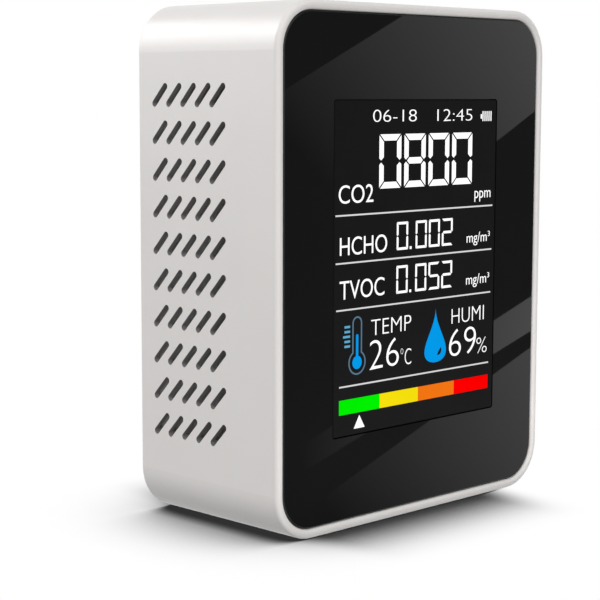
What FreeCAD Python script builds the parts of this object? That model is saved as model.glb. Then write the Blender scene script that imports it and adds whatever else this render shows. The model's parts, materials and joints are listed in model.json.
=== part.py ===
import FreeCAD, Part
import math
import os
import re

import Sketcher
from FreeCAD import Placement, Rotation, Vector

"""A desktop air quality monitor: a plastic case with a colour display, gas sensors, a battery and a charging
board.

The origin is at the middle of the underside, +X is to the right of someone reading the display, +Y is towards
the back and +Z is up. A place along Y is given as a depth behind the front rim, so the rim is at depth 0.
"""

# Every size that can be set by itself, in millimetres unless its note says otherwise.
SIZES = [
    # case
    ("width", 70, "overall width"),
    ("height", 90, "overall height"),
    ("depth", 35, "overall depth"),
    ("corner_radius", 8.3, "outer corner radius seen from the front"),
    ("wall", 2, "side wall thickness"),
    ("edge_round", 0.8, "rounding of the front rim's outer edge"),
    ("rim_width", 1.7, "width of the rim round the front panel"),
    ("rim_round", 0.8, "rounding of the rim's inner edge"),
    ("back_round", 0.5, "rounding of the back edge"),
    ("web_thick", 1.2, "front wall behind the panel"),
    ("web_lap", 1, "how far the front wall reaches in behind the window"),
    # side vents
    ("vent_rows", 10, "slots in a column, a count"),
    ("vent_columns", 5, "slots in a row, a count"),
    ("vent_row_pitch", 6.4, "height between rows"),
    ("vent_column_pitch", 3.7, "distance between columns"),
    ("vent_back_inset", 5.8, "last column's centre to the back face"),
    ("vent_rise", 2.9, "height of a slot's centre line"),
    ("vent_run", 2.8, "length of a slot's centre line along the wall"),
    ("vent_width", 1.2, "width of a slot"),
    ("vent_lift", 0.6, "middle of the side vents above the case's middle"),
    ("pocket_depth", 1, "thinning of the side walls' inner faces round the vents"),
    ("pocket_margin", 0.8, "pocket's edge to the slots"),
    ("pocket_round", 1, "pocket corner radius"),
    # front panel and window
    ("panel_recess", 0.35, "panel face below the rim"),
    ("panel_thick", 1.5, "front panel and window thickness"),
    ("panel_gap", 0.1, "gap round the panel"),
    ("panel_bevel", 0.15, "bevel of the panel's and window's front edges"),
    ("window_side_margin", 13.6, "window to the case's sides"),
    ("window_end_margin", 16.4, "window to the case's top and bottom"),
    ("window_gap", 0.2, "groove round the window"),
    ("window_round", 0.4, "window corner radius"),
    ("tape_thick", 0.15, "adhesive behind the panel"),
    ("tape_inset", 1, "adhesive edge inside the panel's edge"),
    # display module
    ("gasket_thick", 0.4, "foam frame between front wall and display"),
    ("gasket_band", 2.6, "width of the foam frame"),
    ("lcd_side_margin", 3.6, "display module's edge beyond the window at the sides"),
    ("lcd_top_margin", 2.6, "display module's edge above the window"),
    ("lcd_low_margin", 9.4, "display module's edge below the window"),
    ("lcd_border", 1.2, "wall of the display's plastic frame"),
    ("lcd_gap", 0.1, "play of the glass and sheets in the frame"),
    ("driver_ledge", 5, "rear glass showing below the front glass"),
    ("film_thick", 0.15, "polariser film"),
    ("film_inset", 0.6, "polariser edge inside the glass edge"),
    ("glass_thick", 0.5, "each glass"),
    ("sheet_thick", 0.1, "prism, diffuser and reflector sheets"),
    ("guide_thick", 0.7, "light guide"),
    ("led_count", 4, "backlight lamps, a count"),
    ("led_pitch", 10.5, "distance between the lamps"),
    ("led_width", 3, "lamp width"),
    ("led_height", 1, "lamp height"),
    ("led_thick", 0.6, "lamp thickness"),
    ("driver_width", 18, "display driver chip width"),
    ("driver_height", 1.2, "display driver chip height"),
    ("driver_thick", 0.35, "display driver chip thickness"),
    ("ribbon_width", 16, "display ribbon width"),
    ("ribbon_thick", 0.12, "display ribbon thickness"),
    ("ribbon_bond", 1.2, "overlap of the ribbon on the glass"),
    ("ribbon_drop", 0.4, "straight ribbon below the display before its bend"),
    ("ribbon_lift", 0.8, "ribbon height off the board in its connector"),
    ("ribbon_grip", 2.2, "ribbon length inside its connector"),
    ("ribbon_play", 0.03, "gap round the ribbon in its connector"),
    ("socket_width", 19, "ribbon connector width"),
    ("socket_height", 4, "ribbon connector height"),
    ("socket_rise", 3, "ribbon connector to the board's bottom edge"),
    ("socket_thick", 1.6, "ribbon connector thickness"),
    ("latch_height", 1.3, "ribbon latch height"),
    ("latch_thick", 0.5, "ribbon latch thickness"),
    ("pad_thick", 0.8, "foam pads behind the display"),
    ("pad_width", 8, "foam pad width"),
    ("pad_height", 44, "foam pad height"),
    ("pad_inset", 1, "outer foam pad to the display module's side"),
    ("pad_lift", 5, "foam pads' middle above the case's middle"),
    # main board
    ("board_side_gap", 2, "main board to the case's side walls"),
    ("board_end_gap", 7.5, "main board to the case's floor and ceiling"),
    ("board_thick", 1.2, "circuit board thickness"),
    ("board_round", 1.5, "circuit board corner radius"),
    ("board_hole_inset", 2.4, "fixing hole to the board's side edge"),
    ("board_hole_rise", 4, "fixing hole to the board's top or bottom edge"),
    ("board_hole_radius", 1.1, "fixing hole"),
    ("post_radius", 2.2, "posts that carry the main board"),
    ("pilot_radius", 0.85, "hole in a post for a board screw"),
    ("pilot_depth", 3.6, "depth of that hole"),
    ("pin_radius", 0.3, "round connecting pins"),
    ("pin_play", 0.08, "gap round a pin in its hole"),
    ("pin_tail", 0.5, "pin end in front of the main board"),
    # board screws
    ("board_screw_radius", 0.8, "shank"),
    ("board_screw_length", 4, "shank length under the head"),
    ("board_screw_head_radius", 1.8, "head"),
    ("board_screw_head_height", 1.1, "head height"),
    ("recess_width", 0.5, "arm of the cross recess in a screw"),
    ("recess_span", 1.9, "span of the cross recess"),
    ("recess_depth", 0.7, "depth of the cross recess"),
    # parts on the main board
    ("mcu_size", 7, "microcontroller side"),
    ("mcu_thick", 1.4, "microcontroller thickness"),
    ("mcu_inset", 12, "microcontroller centre to the board's left edge"),
    ("mcu_rise", 8.5, "microcontroller centre to the board's bottom edge"),
    ("chip_standoff", 0.1, "chip body off the board"),
    ("lead_width", 0.22, "chip lead width"),
    ("lead_pitch", 0.5, "chip lead pitch"),
    ("lead_count", 12, "leads on each side of the microcontroller, a count"),
    ("lead_reach", 1, "lead length outside a chip"),
    ("lead_thick", 0.15, "lead metal"),
    ("lead_foot", 0.5, "foot of a lead"),
    ("crystal_rise", 6.6, "crystal's centre above the microcontroller's"),
    ("crystal_length", 5, "crystal can length"),
    ("crystal_width", 3.2, "crystal can width"),
    ("crystal_thick", 1.2, "crystal can thickness"),
    ("small_chip_length", 4.9, "small chip length"),
    ("small_chip_width", 3.9, "small chip width"),
    ("small_chip_thick", 1.5, "small chip thickness"),
    ("small_lead_pitch", 1.27, "small chip lead pitch"),
    ("small_lead_width", 0.4, "small chip lead width"),
    ("small_lead_count", 4, "leads on each long side of a small chip, a count"),
    ("passive_length", 1.6, "resistor and capacitor length"),
    ("passive_width", 0.8, "resistor and capacitor width"),
    ("capacitor_thick", 0.8, "capacitor thickness"),
    ("resistor_thick", 0.45, "resistor thickness"),
    ("passive_pitch", 2.6, "distance between resistors or capacitors"),
    ("passive_drop", 1.6, "top row to the board's top edge"),
    ("passive_inset", 7.5, "first of the top row to the board's left edge"),
    ("capacitor_count", 7, "capacitors in the top row, a count"),
    ("resistor_count", 4, "resistors in the top row, a count"),
    ("climate_inset", 3.6, "temperature and humidity sensor's centre to the board's left edge"),
    ("climate_rise", 11, "its centre to the board's bottom edge"),
    ("climate_island", 0.7, "board left round it inside the heat barrier"),
    ("climate_bridge", 0.5, "board left between the heat barrier's two slots"),
    ("climate_size", 3, "temperature and humidity sensor side"),
    ("climate_thick", 1, "temperature and humidity sensor thickness"),
    ("climate_hole", 0.6, "radius of its air hole"),
    ("climate_slot", 0.8, "width of the heat barrier slots beside it"),
    # volatile compound sensor
    ("voc_rise", 12.4, "can's axis to the board's bottom edge"),
    ("voc_cell_gap", 3.5, "can's flange to the formaldehyde cell"),
    ("voc_radius", 4.4, "can radius"),
    ("voc_height", 5.6, "can height"),
    ("voc_flange", 0.5, "flange beyond the can"),
    ("voc_flange_thick", 0.6, "flange thickness"),
    ("voc_window", 2.7, "radius of the mesh window"),
    ("voc_mesh_thick", 0.3, "mesh thickness"),
    ("voc_pin_circle", 2.7, "pins' distance from the axis"),
    # formaldehyde sensor
    ("cell_inset", 12, "formaldehyde cell's axis to the board's right edge"),
    ("cell_rise", 14, "formaldehyde cell's axis to the board's bottom edge"),
    ("cell_radius", 8, "formaldehyde cell radius"),
    ("cell_height", 6.5, "formaldehyde cell height"),
    ("cell_standoff", 1, "cell off the board"),
    ("cell_round", 0.8, "rounding of the cell's outer edge"),
    ("cell_port", 2.5, "radius of its gas port"),
    ("cell_port_depth", 0.5, "depth of its gas port"),
    ("cell_pin_circle", 5, "pins' distance from the axis"),
    # carbon dioxide sensor
    ("co2_width", 20, "sensor board width"),
    ("co2_side_gap", 0.7, "sensor board to the main board's right edge"),
    ("co2_end_gap", 4, "sensor board to its neighbours above and below"),
    ("co2_board_thick", 1, "sensor board thickness"),
    ("co2_standoff", 2, "sensor board off the main board"),
    ("co2_shell_width", 15.6, "optical chamber width"),
    ("co2_shell_inset", 1, "optical chamber's ends inside the sensor board's ends"),
    ("co2_shell_thick", 8, "optical chamber depth"),
    ("co2_shell_round", 0.8, "rounding of the chamber"),
    ("co2_filter_radius", 2.6, "radius of a gas filter"),
    ("co2_filter_spacing", 8.5, "distance between gas filters"),
    ("co2_filter_thick", 0.4, "gas filter thickness"),
    ("co2_pin_inset", 1, "pin row to the sensor board's edge"),
    ("co2_pin_pitch", 2.54, "distance between pins"),
    ("co2_pin_end", 0.3, "pin end behind the sensor board"),
    ("co2_pin_count", 4, "pins on each side, a count"),
    # battery
    ("battery_side_gap", 2.3, "cell to the carbon dioxide sensor"),
    ("battery_top_gap", 6.5, "cell to the main board's top edge"),
    ("battery_thick", 6, "cell thickness"),
    ("battery_round", 1.2, "rounding of the cell"),
    ("battery_pad_thick", 0.5, "foam tape under the cell"),
    ("battery_pad_inset", 3, "foam tape edge inside the cell's edge"),
    ("battery_side_inset", 5, "cell to the main board's left edge"),
    ("battery_rise", 18.5, "cell to the main board's bottom edge"),
    ("guard_inset", 2, "taped protection circuit to the cell's left edge"),
    ("guard_right_inset", 6, "taped protection circuit to the cell's right edge"),
    ("guard_height", 3, "taped protection circuit height"),
    ("guard_thick", 3.8, "taped protection circuit thickness"),
    ("lead_wire_radius", 0.6, "battery lead"),
    ("lead_wire_inset", 5, "red lead to the protection circuit's right end"),
    ("lead_wire_spread", 2.5, "distance between the leads at the protection circuit"),
    ("lead_wire_pitch", 2, "distance between the leads at the plug"),
    ("lead_wire_rise", 4.6, "red lead's height above the protection circuit"),
    ("lead_wire_nest", 2.2, "black lead's run below the red one"),
    ("lead_wire_reach", 7, "start of the red lead's slope to the plug"),
    ("lead_wire_slope", 3.4, "length of the leads' slope down to the plug"),
    ("lead_wire_bend", 0.45, "share of the shorter run that a bend takes up, a ratio"),
    ("plug_inset", 19, "battery plug's left end to the board's right edge"),
    ("plug_drop", 0.4, "battery socket to the board's top edge"),
    ("plug_length", 8, "battery plug length"),
    ("plug_width", 5.8, "battery plug width"),
    ("plug_thick", 3.6, "battery plug thickness"),
    ("plug_wall", 0.7, "wall of the battery socket"),
    ("plug_play", 0.1, "play of the plug in the socket"),
    ("plug_depth", 6, "plug length inside the socket"),
    # power board
    ("power_width", 34.5, "power board width"),
    ("power_front_gap", 4, "power board to the main board"),
    ("power_side_gap", 1, "power board to the right corner boss"),
    ("power_back_gap", 1.5, "power board to the back cover"),
    ("power_lift", 2.6, "power board above the case floor"),
    ("power_post_radius", 2, "posts that carry the power board"),
    ("power_screw_length", 3, "shank length of its screws"),
    ("power_pilot_depth", 3.4, "depth of the screw holes in its posts"),
    ("power_post_left", 3.5, "left post to the board's left edge"),
    ("power_post_left_depth", 4, "left post to the board's front edge"),
    ("power_post_right", 3.3, "right post to the board's right edge"),
    ("power_post_right_depth", 8, "right post to the board's front edge"),
    ("link_count", 6, "pins between the two boards, a count"),
    ("link_pitch", 2, "distance between those pins"),
    ("link_pin", 0.5, "square pin width"),
    ("link_inset", 1.2, "pins to the power board's front edge"),
    ("link_rise", 1.7, "pins to the main board's bottom edge"),
    ("link_body", 2, "pin carrier height and thickness"),
    ("link_from_right", 8.5, "middle of the pin row to the power board's right edge"),
    ("charger_inset", 16.5, "charger chip's centre to the power board's left edge"),
    ("charger_depth", 8, "charger chip's centre to the power board's front edge"),
    ("inductor_inset", 6.5, "power inductor to the power board's left edge"),
    ("inductor_depth", 7, "power inductor to the power board's front edge"),
    ("inductor_size", 5, "power inductor side"),
    ("inductor_height", 2.6, "power inductor height"),
    ("inductor_round", 0.8, "power inductor corner rounding"),
    # charging socket
    ("usb_from_right", 23.5, "charging socket's middle to the power board's right edge"),
    ("usb_width", 7.5, "shell width"),
    ("usb_height", 2.7, "shell height"),
    ("usb_length", 5.4, "shell length"),
    ("usb_wall", 0.25, "shell metal"),
    ("usb_fit", 0.03, "gap between the shell and its plastic base"),
    ("usb_slope", 0.8, "sloping lower corners of the shell"),
    ("usb_recess", 0.2, "shell mouth inside the back face"),
    ("usb_gap", 0.35, "opening in the cover round the shell"),
    ("usb_base", 1, "plastic base inside the shell"),
    ("tongue_width", 3.8, "tongue width"),
    ("tongue_thick", 0.6, "tongue thickness"),
    ("tongue_length", 3.2, "tongue length in front of its base"),
    ("contact_count", 5, "contacts on the tongue, a count"),
    ("contact_pitch", 0.65, "distance between contacts"),
    ("contact_width", 0.3, "contact width"),
    ("contact_thick", 0.1, "contact thickness"),
    ("usb_dish_margin", 2, "plug recess in the cover beyond the opening"),
    ("usb_dish_depth", 0.6, "plug recess depth"),
    # power button and its switch
    ("button_from_right", 7.9, "button's axis to the power board's right edge"),
    ("button_radius", 3.2, "button cap radius"),
    ("button_gap", 0.2, "gap round the button cap"),
    ("button_flange", 1, "flange beyond the cap"),
    ("button_flange_thick", 0.8, "flange thickness"),
    ("button_inset", 0.15, "cap face inside the back face"),
    ("button_round", 0.5, "rounding of the cap"),
    ("button_stem_radius", 1.5, "stem towards the switch"),
    ("button_stem_length", 1, "stem length"),
    ("button_dish_radius", 6, "finger dish in the cover"),
    ("button_dish_depth", 0.7, "finger dish depth"),
    ("button_dish_round", 0.5, "rounding of the dish's edge"),
    ("switch_width", 6, "switch width"),
    ("switch_height", 4.6, "switch height"),
    ("switch_length", 3.4, "switch length"),
    ("switch_axis", 2.4, "plunger's axis above the power board"),
    ("switch_plate", 0.3, "metal face of the switch"),
    ("plunger_radius", 1.6, "plunger radius"),
    ("plunger_gap", 0.15, "gap round the plunger"),
    ("plunger_out", 1, "plunger in front of the switch's face"),
    ("plunger_in", 0.8, "plunger inside the switch's body"),
    ("plunger_room", 0.5, "space behind the plunger"),
    # back cover and its screws
    ("cover_thick", 2, "back cover"),
    ("cover_lip", 1.1, "case wall left round the cover"),
    ("cover_gap", 0.12, "gap round the cover"),
    ("cover_round", 0.3, "rounding of the cover's outer edge"),
    ("boss_radius", 2.8, "corner bosses"),
    ("boss_inset", 5.7, "boss axis to the outer faces"),
    ("boss_pilot_radius", 0.95, "screw hole in a boss"),
    ("boss_pilot_depth", 10, "depth of that hole"),
    ("cover_hole_radius", 1.2, "screw hole in the cover"),
    ("cover_screw_radius", 0.9, "shank"),
    ("cover_screw_length", 9, "whole screw length"),
    ("cover_screw_head", 2.1, "countersunk head radius"),
    ("cover_screw_sink", 0.1, "head below the cover's face"),
    ("rib_length", 2, "locating ribs of the cover"),
    ("rib_thick", 1, "locating rib thickness"),
    ("rib_gap", 0.15, "gap between rib and case wall"),
    ("top_rib_inset", 8.5, "top rib's ends to the corner bosses"),
    ("low_rib_inset", 2.5, "bottom rib to the corner boss and the power board"),
    ("back_vent_rows", 3, "slots in a column of the cover, a count"),
    ("back_vent_columns", 9, "slots in a row of the cover, a count"),
    ("back_vent_drop", 24, "middle row to the top of the case"),
]

# Depths behind the front rim, front to back.
PANEL_BACK = "panel_recess + panel_thick"
WEB_FRONT = f"{PANEL_BACK} + tape_thick"
WEB_BACK = f"{WEB_FRONT} + web_thick"
LCD_FRONT = f"{WEB_BACK} + gasket_thick"
FRONT_GLASS = f"{LCD_FRONT} + film_thick"
REAR_GLASS = f"{FRONT_GLASS} + glass_thick"
REAR_FILM = f"{REAR_GLASS} + glass_thick"
PRISM = f"{REAR_FILM} + film_thick"
DIFFUSER = f"{PRISM} + sheet_thick"
GUIDE = f"{DIFFUSER} + sheet_thick"
REFLECTOR = f"{GUIDE} + guide_thick"
LCD_BACK = f"{REFLECTOR} + sheet_thick"
BOARD_FRONT = f"{LCD_BACK} + pad_thick"
BOARD_BACK = f"{BOARD_FRONT} + board_thick"
COVER_FRONT = "depth - cover_thick"

# The window's and the display's outline, seen from the front.
PANEL_EDGE = "(rim_width + panel_gap)"
MIDDLE = "height / 2"
WINDOW_HALF_WIDTH = "(width / 2 - window_side_margin)"
WINDOW_HALF_HEIGHT = "(height / 2 - window_end_margin)"
OPENING_HALF_WIDTH = f"({WINDOW_HALF_WIDTH} - web_lap)"
OPENING_HALF_HEIGHT = f"({WINDOW_HALF_HEIGHT} - web_lap)"
LCD_HALF_WIDTH = f"({WINDOW_HALF_WIDTH} + lcd_side_margin)"
LCD_TOP = f"({MIDDLE} + {WINDOW_HALF_HEIGHT} + lcd_top_margin)"
LCD_BOTTOM = f"({MIDDLE} - {WINDOW_HALF_HEIGHT} - lcd_low_margin)"
GLASS_HALF_WIDTH = f"({LCD_HALF_WIDTH} - lcd_border - lcd_gap)"
GLASS_TOP = f"({LCD_TOP} - lcd_border - lcd_gap)"
GLASS_BOTTOM = f"({LCD_BOTTOM} + lcd_border + lcd_gap)"
LAMP_TOP = f"({GLASS_BOTTOM} + led_height)"

# The side vents' outer rows and columns, as places along Y and Z.
VENT_BACK = "(depth / 2 - vent_back_inset)"
VENT_FRONT = f"({VENT_BACK} - (vent_columns - 1) * vent_column_pitch)"
VENT_LOW = f"({MIDDLE} + vent_lift - (vent_rows - 1) / 2 * vent_row_pitch)"
VENT_HIGH = f"({MIDDLE} + vent_lift + (vent_rows - 1) / 2 * vent_row_pitch)"

# The main board, and the places of what it carries.
BOARD_RIGHT = "(width / 2 - wall - board_side_gap)"
BOARD_LEFT = f"(-{BOARD_RIGHT})"
BOARD_BOTTOM = "(wall + board_end_gap)"
BOARD_TOP = "(height - wall - board_end_gap)"
SOCKET_BOTTOM = f"({BOARD_BOTTOM} + socket_rise)"
MCU_X = f"({BOARD_LEFT} + mcu_inset)"
MCU_Z = f"({BOARD_BOTTOM} + mcu_rise)"
CLIMATE_X = f"({BOARD_LEFT} + climate_inset)"
CLIMATE_Z = f"({BOARD_BOTTOM} + climate_rise)"
CLIMATE_ISLAND = "(climate_size / 2 + climate_island)"
CELL_X = f"({BOARD_RIGHT} - cell_inset)"
CELL_Z = f"({BOARD_BOTTOM} + cell_rise)"
VOC_X = f"({CELL_X} - cell_radius - voc_cell_gap - voc_flange - voc_radius)"
VOC_Z = f"({BOARD_BOTTOM} + voc_rise)"
PLUG_LEFT = f"({BOARD_RIGHT} - plug_inset)"
PLUG_Z = f"({BOARD_TOP} - plug_drop - plug_wall - plug_play - plug_width / 2)"
PLUG_DEPTH = f"{BOARD_BACK} + plug_wall + plug_play + plug_thick / 2"
CO2_LEFT = f"({BOARD_RIGHT} - co2_side_gap - co2_width)"
CO2_BOTTOM = f"({CELL_Z} + cell_radius + co2_end_gap)"
CO2_TOP = f"({PLUG_Z} - plug_width / 2 - plug_play - plug_wall - co2_end_gap)"
CO2_MIDDLE = f"(({CO2_BOTTOM} + {CO2_TOP}) / 2)"
CO2_FRONT = f"{BOARD_BACK} + co2_standoff"
SHELL_FRONT = f"{CO2_FRONT} + co2_board_thick"
BATTERY_LEFT = f"({BOARD_LEFT} + battery_side_inset)"
BATTERY_RIGHT = f"({CO2_LEFT} - battery_side_gap)"
BATTERY_BOTTOM = f"({BOARD_BOTTOM} + battery_rise)"
BATTERY_TOP = f"({BOARD_TOP} - battery_top_gap)"
BATTERY_FRONT = f"{BOARD_BACK} + battery_pad_thick"
GUARD_LEFT = f"({BATTERY_LEFT} + guard_inset)"
GUARD_RIGHT = f"({BATTERY_RIGHT} - guard_right_inset)"

# The power board lies flat on the case floor. Its places are depths and distances from its edges.
POWER_BOTTOM = "(wall + power_lift)"
POWER_TOP = f"({POWER_BOTTOM} + board_thick)"
POWER_RIGHT = "(width / 2 - boss_inset - boss_radius - power_side_gap)"
POWER_LEFT = f"({POWER_RIGHT} - power_width)"
POWER_BACK = f"({COVER_FRONT} - power_back_gap)"
POWER_FRONT = f"({BOARD_BACK} + power_front_gap)"
POWER_POSTS = [
    (f"{POWER_LEFT} + power_post_left", f"{POWER_FRONT} + power_post_left_depth"),
    (f"{POWER_RIGHT} - power_post_right", f"{POWER_FRONT} + power_post_right_depth"),
]
LINK_X = f"({POWER_RIGHT} - link_from_right)"
LINK_Z = f"({BOARD_BOTTOM} + link_rise)"
LINK_DEPTH = f"({POWER_FRONT} + link_inset)"
USB_X = f"({POWER_RIGHT} - usb_from_right)"
BUTTON_X = f"({POWER_RIGHT} - button_from_right)"
BUTTON_Z = f"({POWER_TOP} + switch_axis)"
FLANGE_FRONT = f"({COVER_FRONT} - button_flange_thick)"
PLUNGER_BACK = f"({FLANGE_FRONT} - button_stem_length)"
SWITCH_BACK = f"({PLUNGER_BACK} - plunger_out)"
SWITCH_FRONT = f"({SWITCH_BACK} - switch_length)"
USB_BACK = "(depth - usb_recess)"
USB_FRONT = f"({USB_BACK} - usb_length)"

# Tolerances in millimetres for telling edges apart.
NEAR = 1e-4
SLACK = 0.05

doc = FreeCAD.newDocument("air_quality_monitor")
NODES = []


# Sizes and formulas


def make_sheet():
    """The spreadsheet that holds the driving dimensions, one to a row."""
    sheet = doc.addObject("Spreadsheet::Sheet", "Sizes")
    for row, (name, size, note) in enumerate(SIZES, start=1):
        sheet.set(f"A{row}", name)
        sheet.set(f"B{row}", str(size))
        sheet.set(f"C{row}", note)
        sheet.setAlias(f"B{row}", name)
    doc.recompute()
    return sheet


sizes = make_sheet()
SIZE_NAMES = {name for name, _, _ in SIZES}


def formula(text):
    """The text with each size's name turned into a reference to its cell."""
    return re.sub(r"[a-z]\w*", lambda m: f"Sizes.{m[0]}" if m[0] in SIZE_NAMES else m[0], str(text))


def number(text):
    """What a formula comes to at the sheet's present sizes."""
    return float(sizes.evalExpression(formula(text)))


def count(name):
    return int(number(name))


def y_of(depth_text):
    """The Y coordinate, as a formula, of a depth behind the front rim."""
    return f"({depth_text}) - depth / 2"


# Sketches


def new_body(name):
    body = doc.addObject("PartDesign::Body", name)
    body.Label = name
    return body


def sketch_on(body, plane, offset):
    """A sketch on one of the body's own origin planes, moved along that plane's normal."""
    sketch = body.newObject("Sketcher::SketchObject", f"{body.Name}_sketch")
    sketch.AttachmentSupport = [(f, "") for f in body.Origin.OriginFeatures if f.Role == plane]
    sketch.MapMode = "FlatFace"
    sketch.setExpression("AttachmentOffset.Base.z", formula(offset))
    return sketch


def front_sketch(body, depth_text):
    """A sketch seen from the front, with X to the right and Z up, at a depth behind the rim."""
    return sketch_on(body, "XZ_Plane", f"depth / 2 - ({depth_text})")


def floor_sketch(body, z):
    """A sketch seen from above, with X to the right and Y towards the back."""
    return sketch_on(body, "XY_Plane", z)


def side_sketch(body, x):
    """A sketch seen from the right, with Y to the right and Z up."""
    return sketch_on(body, "YZ_Plane", x)


def dimension(sketch, kind, *where, size):
    index = sketch.addConstraint(Sketcher.Constraint(kind, *where, number(size)))
    sketch.setExpression(f"Constraints[{index}]", formula(size))


def pin_point(sketch, curve, point, x, y):
    """Holds one point of a curve at a place given by two formulas."""
    dimension(sketch, "DistanceX", -1, 1, curve, point, size=x)
    dimension(sketch, "DistanceY", -1, 1, curve, point, size=y)


def polygon(sketch, *corners):
    """A closed outline of straight lines."""
    places = [Vector(number(x), number(y), 0) for x, y in corners]
    first = sketch.GeometryCount
    for start, end in zip(places, places[1:] + places[:1]):
        sketch.addGeometry(Part.LineSegment(start, end))
    for i, (x, y) in enumerate(corners):
        before = first + (i - 1) % len(corners)
        sketch.addConstraint(Sketcher.Constraint("Coincident", before, 2, first + i, 1))
        pin_point(sketch, first + i, 1, x, y)


def rectangle(sketch, left, bottom, right, top):
    polygon(sketch, (left, bottom), (right, bottom), (right, top), (left, top))


def rounded_rectangle(sketch, left, bottom, right, top, radius):
    """A rectangle whose four corners are arcs."""
    x0, y0, x1, y1, r = (number(v) for v in (left, bottom, right, top, radius))
    up = Vector(0, 0, 1)
    turn = math.pi / 2
    first = sketch.GeometryCount
    corners = [(x0 + r, y0 + r, 2), (x1 - r, y0 + r, 3), (x1 - r, y1 - r, 0), (x0 + r, y1 - r, 1)]
    for x, y, quarter in corners:
        arc = Part.ArcOfCircle(Part.Circle(Vector(x, y, 0), up, r), quarter * turn, (quarter + 1) * turn)
        sketch.addGeometry(arc)
    for i in range(4):
        start = sketch.Geometry[first + i].EndPoint
        end = sketch.Geometry[first + (i + 1) % 4].StartPoint
        sketch.addGeometry(Part.LineSegment(start, end))
    for i in range(4):
        line = first + 4 + i
        sketch.addConstraint(Sketcher.Constraint("Tangent", first + i, 2, line, 1))
        sketch.addConstraint(Sketcher.Constraint("Tangent", line, 2, first + (i + 1) % 4, 1))
        sketch.addConstraint(Sketcher.Constraint("Vertical" if i % 2 else "Horizontal", line))
    for i in range(1, 4):
        sketch.addConstraint(Sketcher.Constraint("Equal", first, first + i))
    dimension(sketch, "Radius", first, size=radius)
    pin_point(sketch, first, 3, f"{left} + {radius}", f"{bottom} + {radius}")
    pin_point(sketch, first + 2, 3, f"{right} - {radius}", f"{top} - {radius}")


def circle(sketch, x, y, radius):
    at = Vector(number(x), number(y), 0)
    index = sketch.addGeometry(Part.Circle(at, Vector(0, 0, 1), number(radius)))
    pin_point(sketch, index, 3, x, y)
    dimension(sketch, "Radius", index, size=radius)


def slot(sketch, x1, y1, x2, y2, radius):
    """A slot with round ends between two end centres."""
    a, b = Vector(number(x1), number(y1), 0), Vector(number(x2), number(y2), 0)
    r = number(radius)
    along = (b - a).normalize()
    side = Vector(0, 0, 1).cross(along) * r
    first = sketch.GeometryCount
    sketch.addGeometry(Part.Arc(a + side, a - along * r, a - side))
    sketch.addGeometry(Part.LineSegment(a - side, b - side))
    sketch.addGeometry(Part.Arc(b - side, b + along * r, b + side))
    sketch.addGeometry(Part.LineSegment(b + side, a + side))
    for i in range(4):
        sketch.addConstraint(Sketcher.Constraint("Tangent", first + i, 2, first + (i + 1) % 4, 1))
    pin_point(sketch, first, 3, x1, y1)
    pin_point(sketch, first + 2, 3, x2, y2)
    dimension(sketch, "Radius", first, size=radius)


# Part Design features


def feature(body, kind, sketch, length, reversed_way):
    made = body.newObject(f"PartDesign::{kind}", f"{body.Name}_{kind.lower()}")
    made.Profile = sketch
    made.Reversed = reversed_way
    made.setExpression("Length", formula(length))
    doc.recompute()
    return made


def pad_back(body, sketch, length):
    """Pads a front sketch towards the back."""
    return feature(body, "Pad", sketch, length, True)


def pad_front(body, sketch, length):
    """Pads a front sketch towards the front."""
    return feature(body, "Pad", sketch, length, False)


def pad_up(body, sketch, length):
    """Pads a floor sketch upwards, or a side sketch to the right."""
    return feature(body, "Pad", sketch, length, False)


def cut_back(body, sketch, length):
    """Cuts from a front sketch towards the back."""
    return feature(body, "Pocket", sketch, length, False)


def cut_front(body, sketch, length):
    """Cuts from a front sketch towards the front."""
    return feature(body, "Pocket", sketch, length, True)


def cut_down(body, sketch, length):
    """Cuts from a floor sketch downwards."""
    return feature(body, "Pocket", sketch, length, False)


def cut_both_ways(body, sketch, length):
    """Cuts to both sides of a sketch."""
    made = feature(body, "Pocket", sketch, length, False)
    made.SideType = "Symmetric"
    doc.recompute()
    return made


def edges_at(shape, depth_text, wanted=lambda box: True):
    """Names of the shape's edges that lie in the plane at a depth behind the rim."""
    y = number(y_of(depth_text))
    names = []
    for i, edge in enumerate(shape.Edges, start=1):
        box = edge.BoundBox
        if abs(box.YMin - y) < NEAR and abs(box.YMax - y) < NEAR and wanted(box):
            names.append(f"Edge{i}")
    return names


def round_one(x, radius):
    """A test for edges round an axis at x, or at -x, and no larger than a radius."""
    middle, widest = number(x), 2 * number(radius) + NEAR
    return lambda box: abs(abs(box.Center.x) - abs(middle)) < SLACK and box.XLength < widest


def soften(body, kind, names, size):
    """Rounds or bevels named edges of the body's last feature."""
    made = body.newObject(f"PartDesign::{kind}", f"{body.Name}_{kind.lower()}")
    made.Base = (body.Tip if body.Tip != made else made.BaseFeature, names)
    made.setExpression("Radius" if kind == "Fillet" else "Size", formula(size))
    doc.recompute()
    return made


def repeat(body, original, sketch, rows, row_pitch, columns, column_pitch):
    """Repeats a cut in rows up and columns along its sketch."""
    made = body.newObject("PartDesign::MultiTransform", f"{body.Name}_repeats")
    made.Originals = [original]
    steps = []
    for axis, number_of, pitch in (("H_Axis", columns, column_pitch), ("V_Axis", rows, row_pitch)):
        step = body.newObject("PartDesign::LinearPattern", f"{body.Name}_along_{axis[0]}")
        step.Direction = (sketch, [axis])
        step.Mode = "Spacing"
        step.setExpression("Occurrences", formula(number_of))
        step.setExpression("Offset", formula(pitch))
        steps.append(step)
    made.Transformations = steps
    body.Tip = made
    doc.recompute()
    return made


# Part primitives


def keep(obj, name=None):
    """Marks an object as one of the kept sub-parts."""
    obj.Label = name or obj.Name
    NODES.append(obj)
    return obj


def put(obj, x, depth_text, z):
    obj.setExpression("Placement.Base.x", formula(x))
    obj.setExpression("Placement.Base.y", formula(y_of(depth_text)))
    obj.setExpression("Placement.Base.z", formula(z))
    return obj


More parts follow.
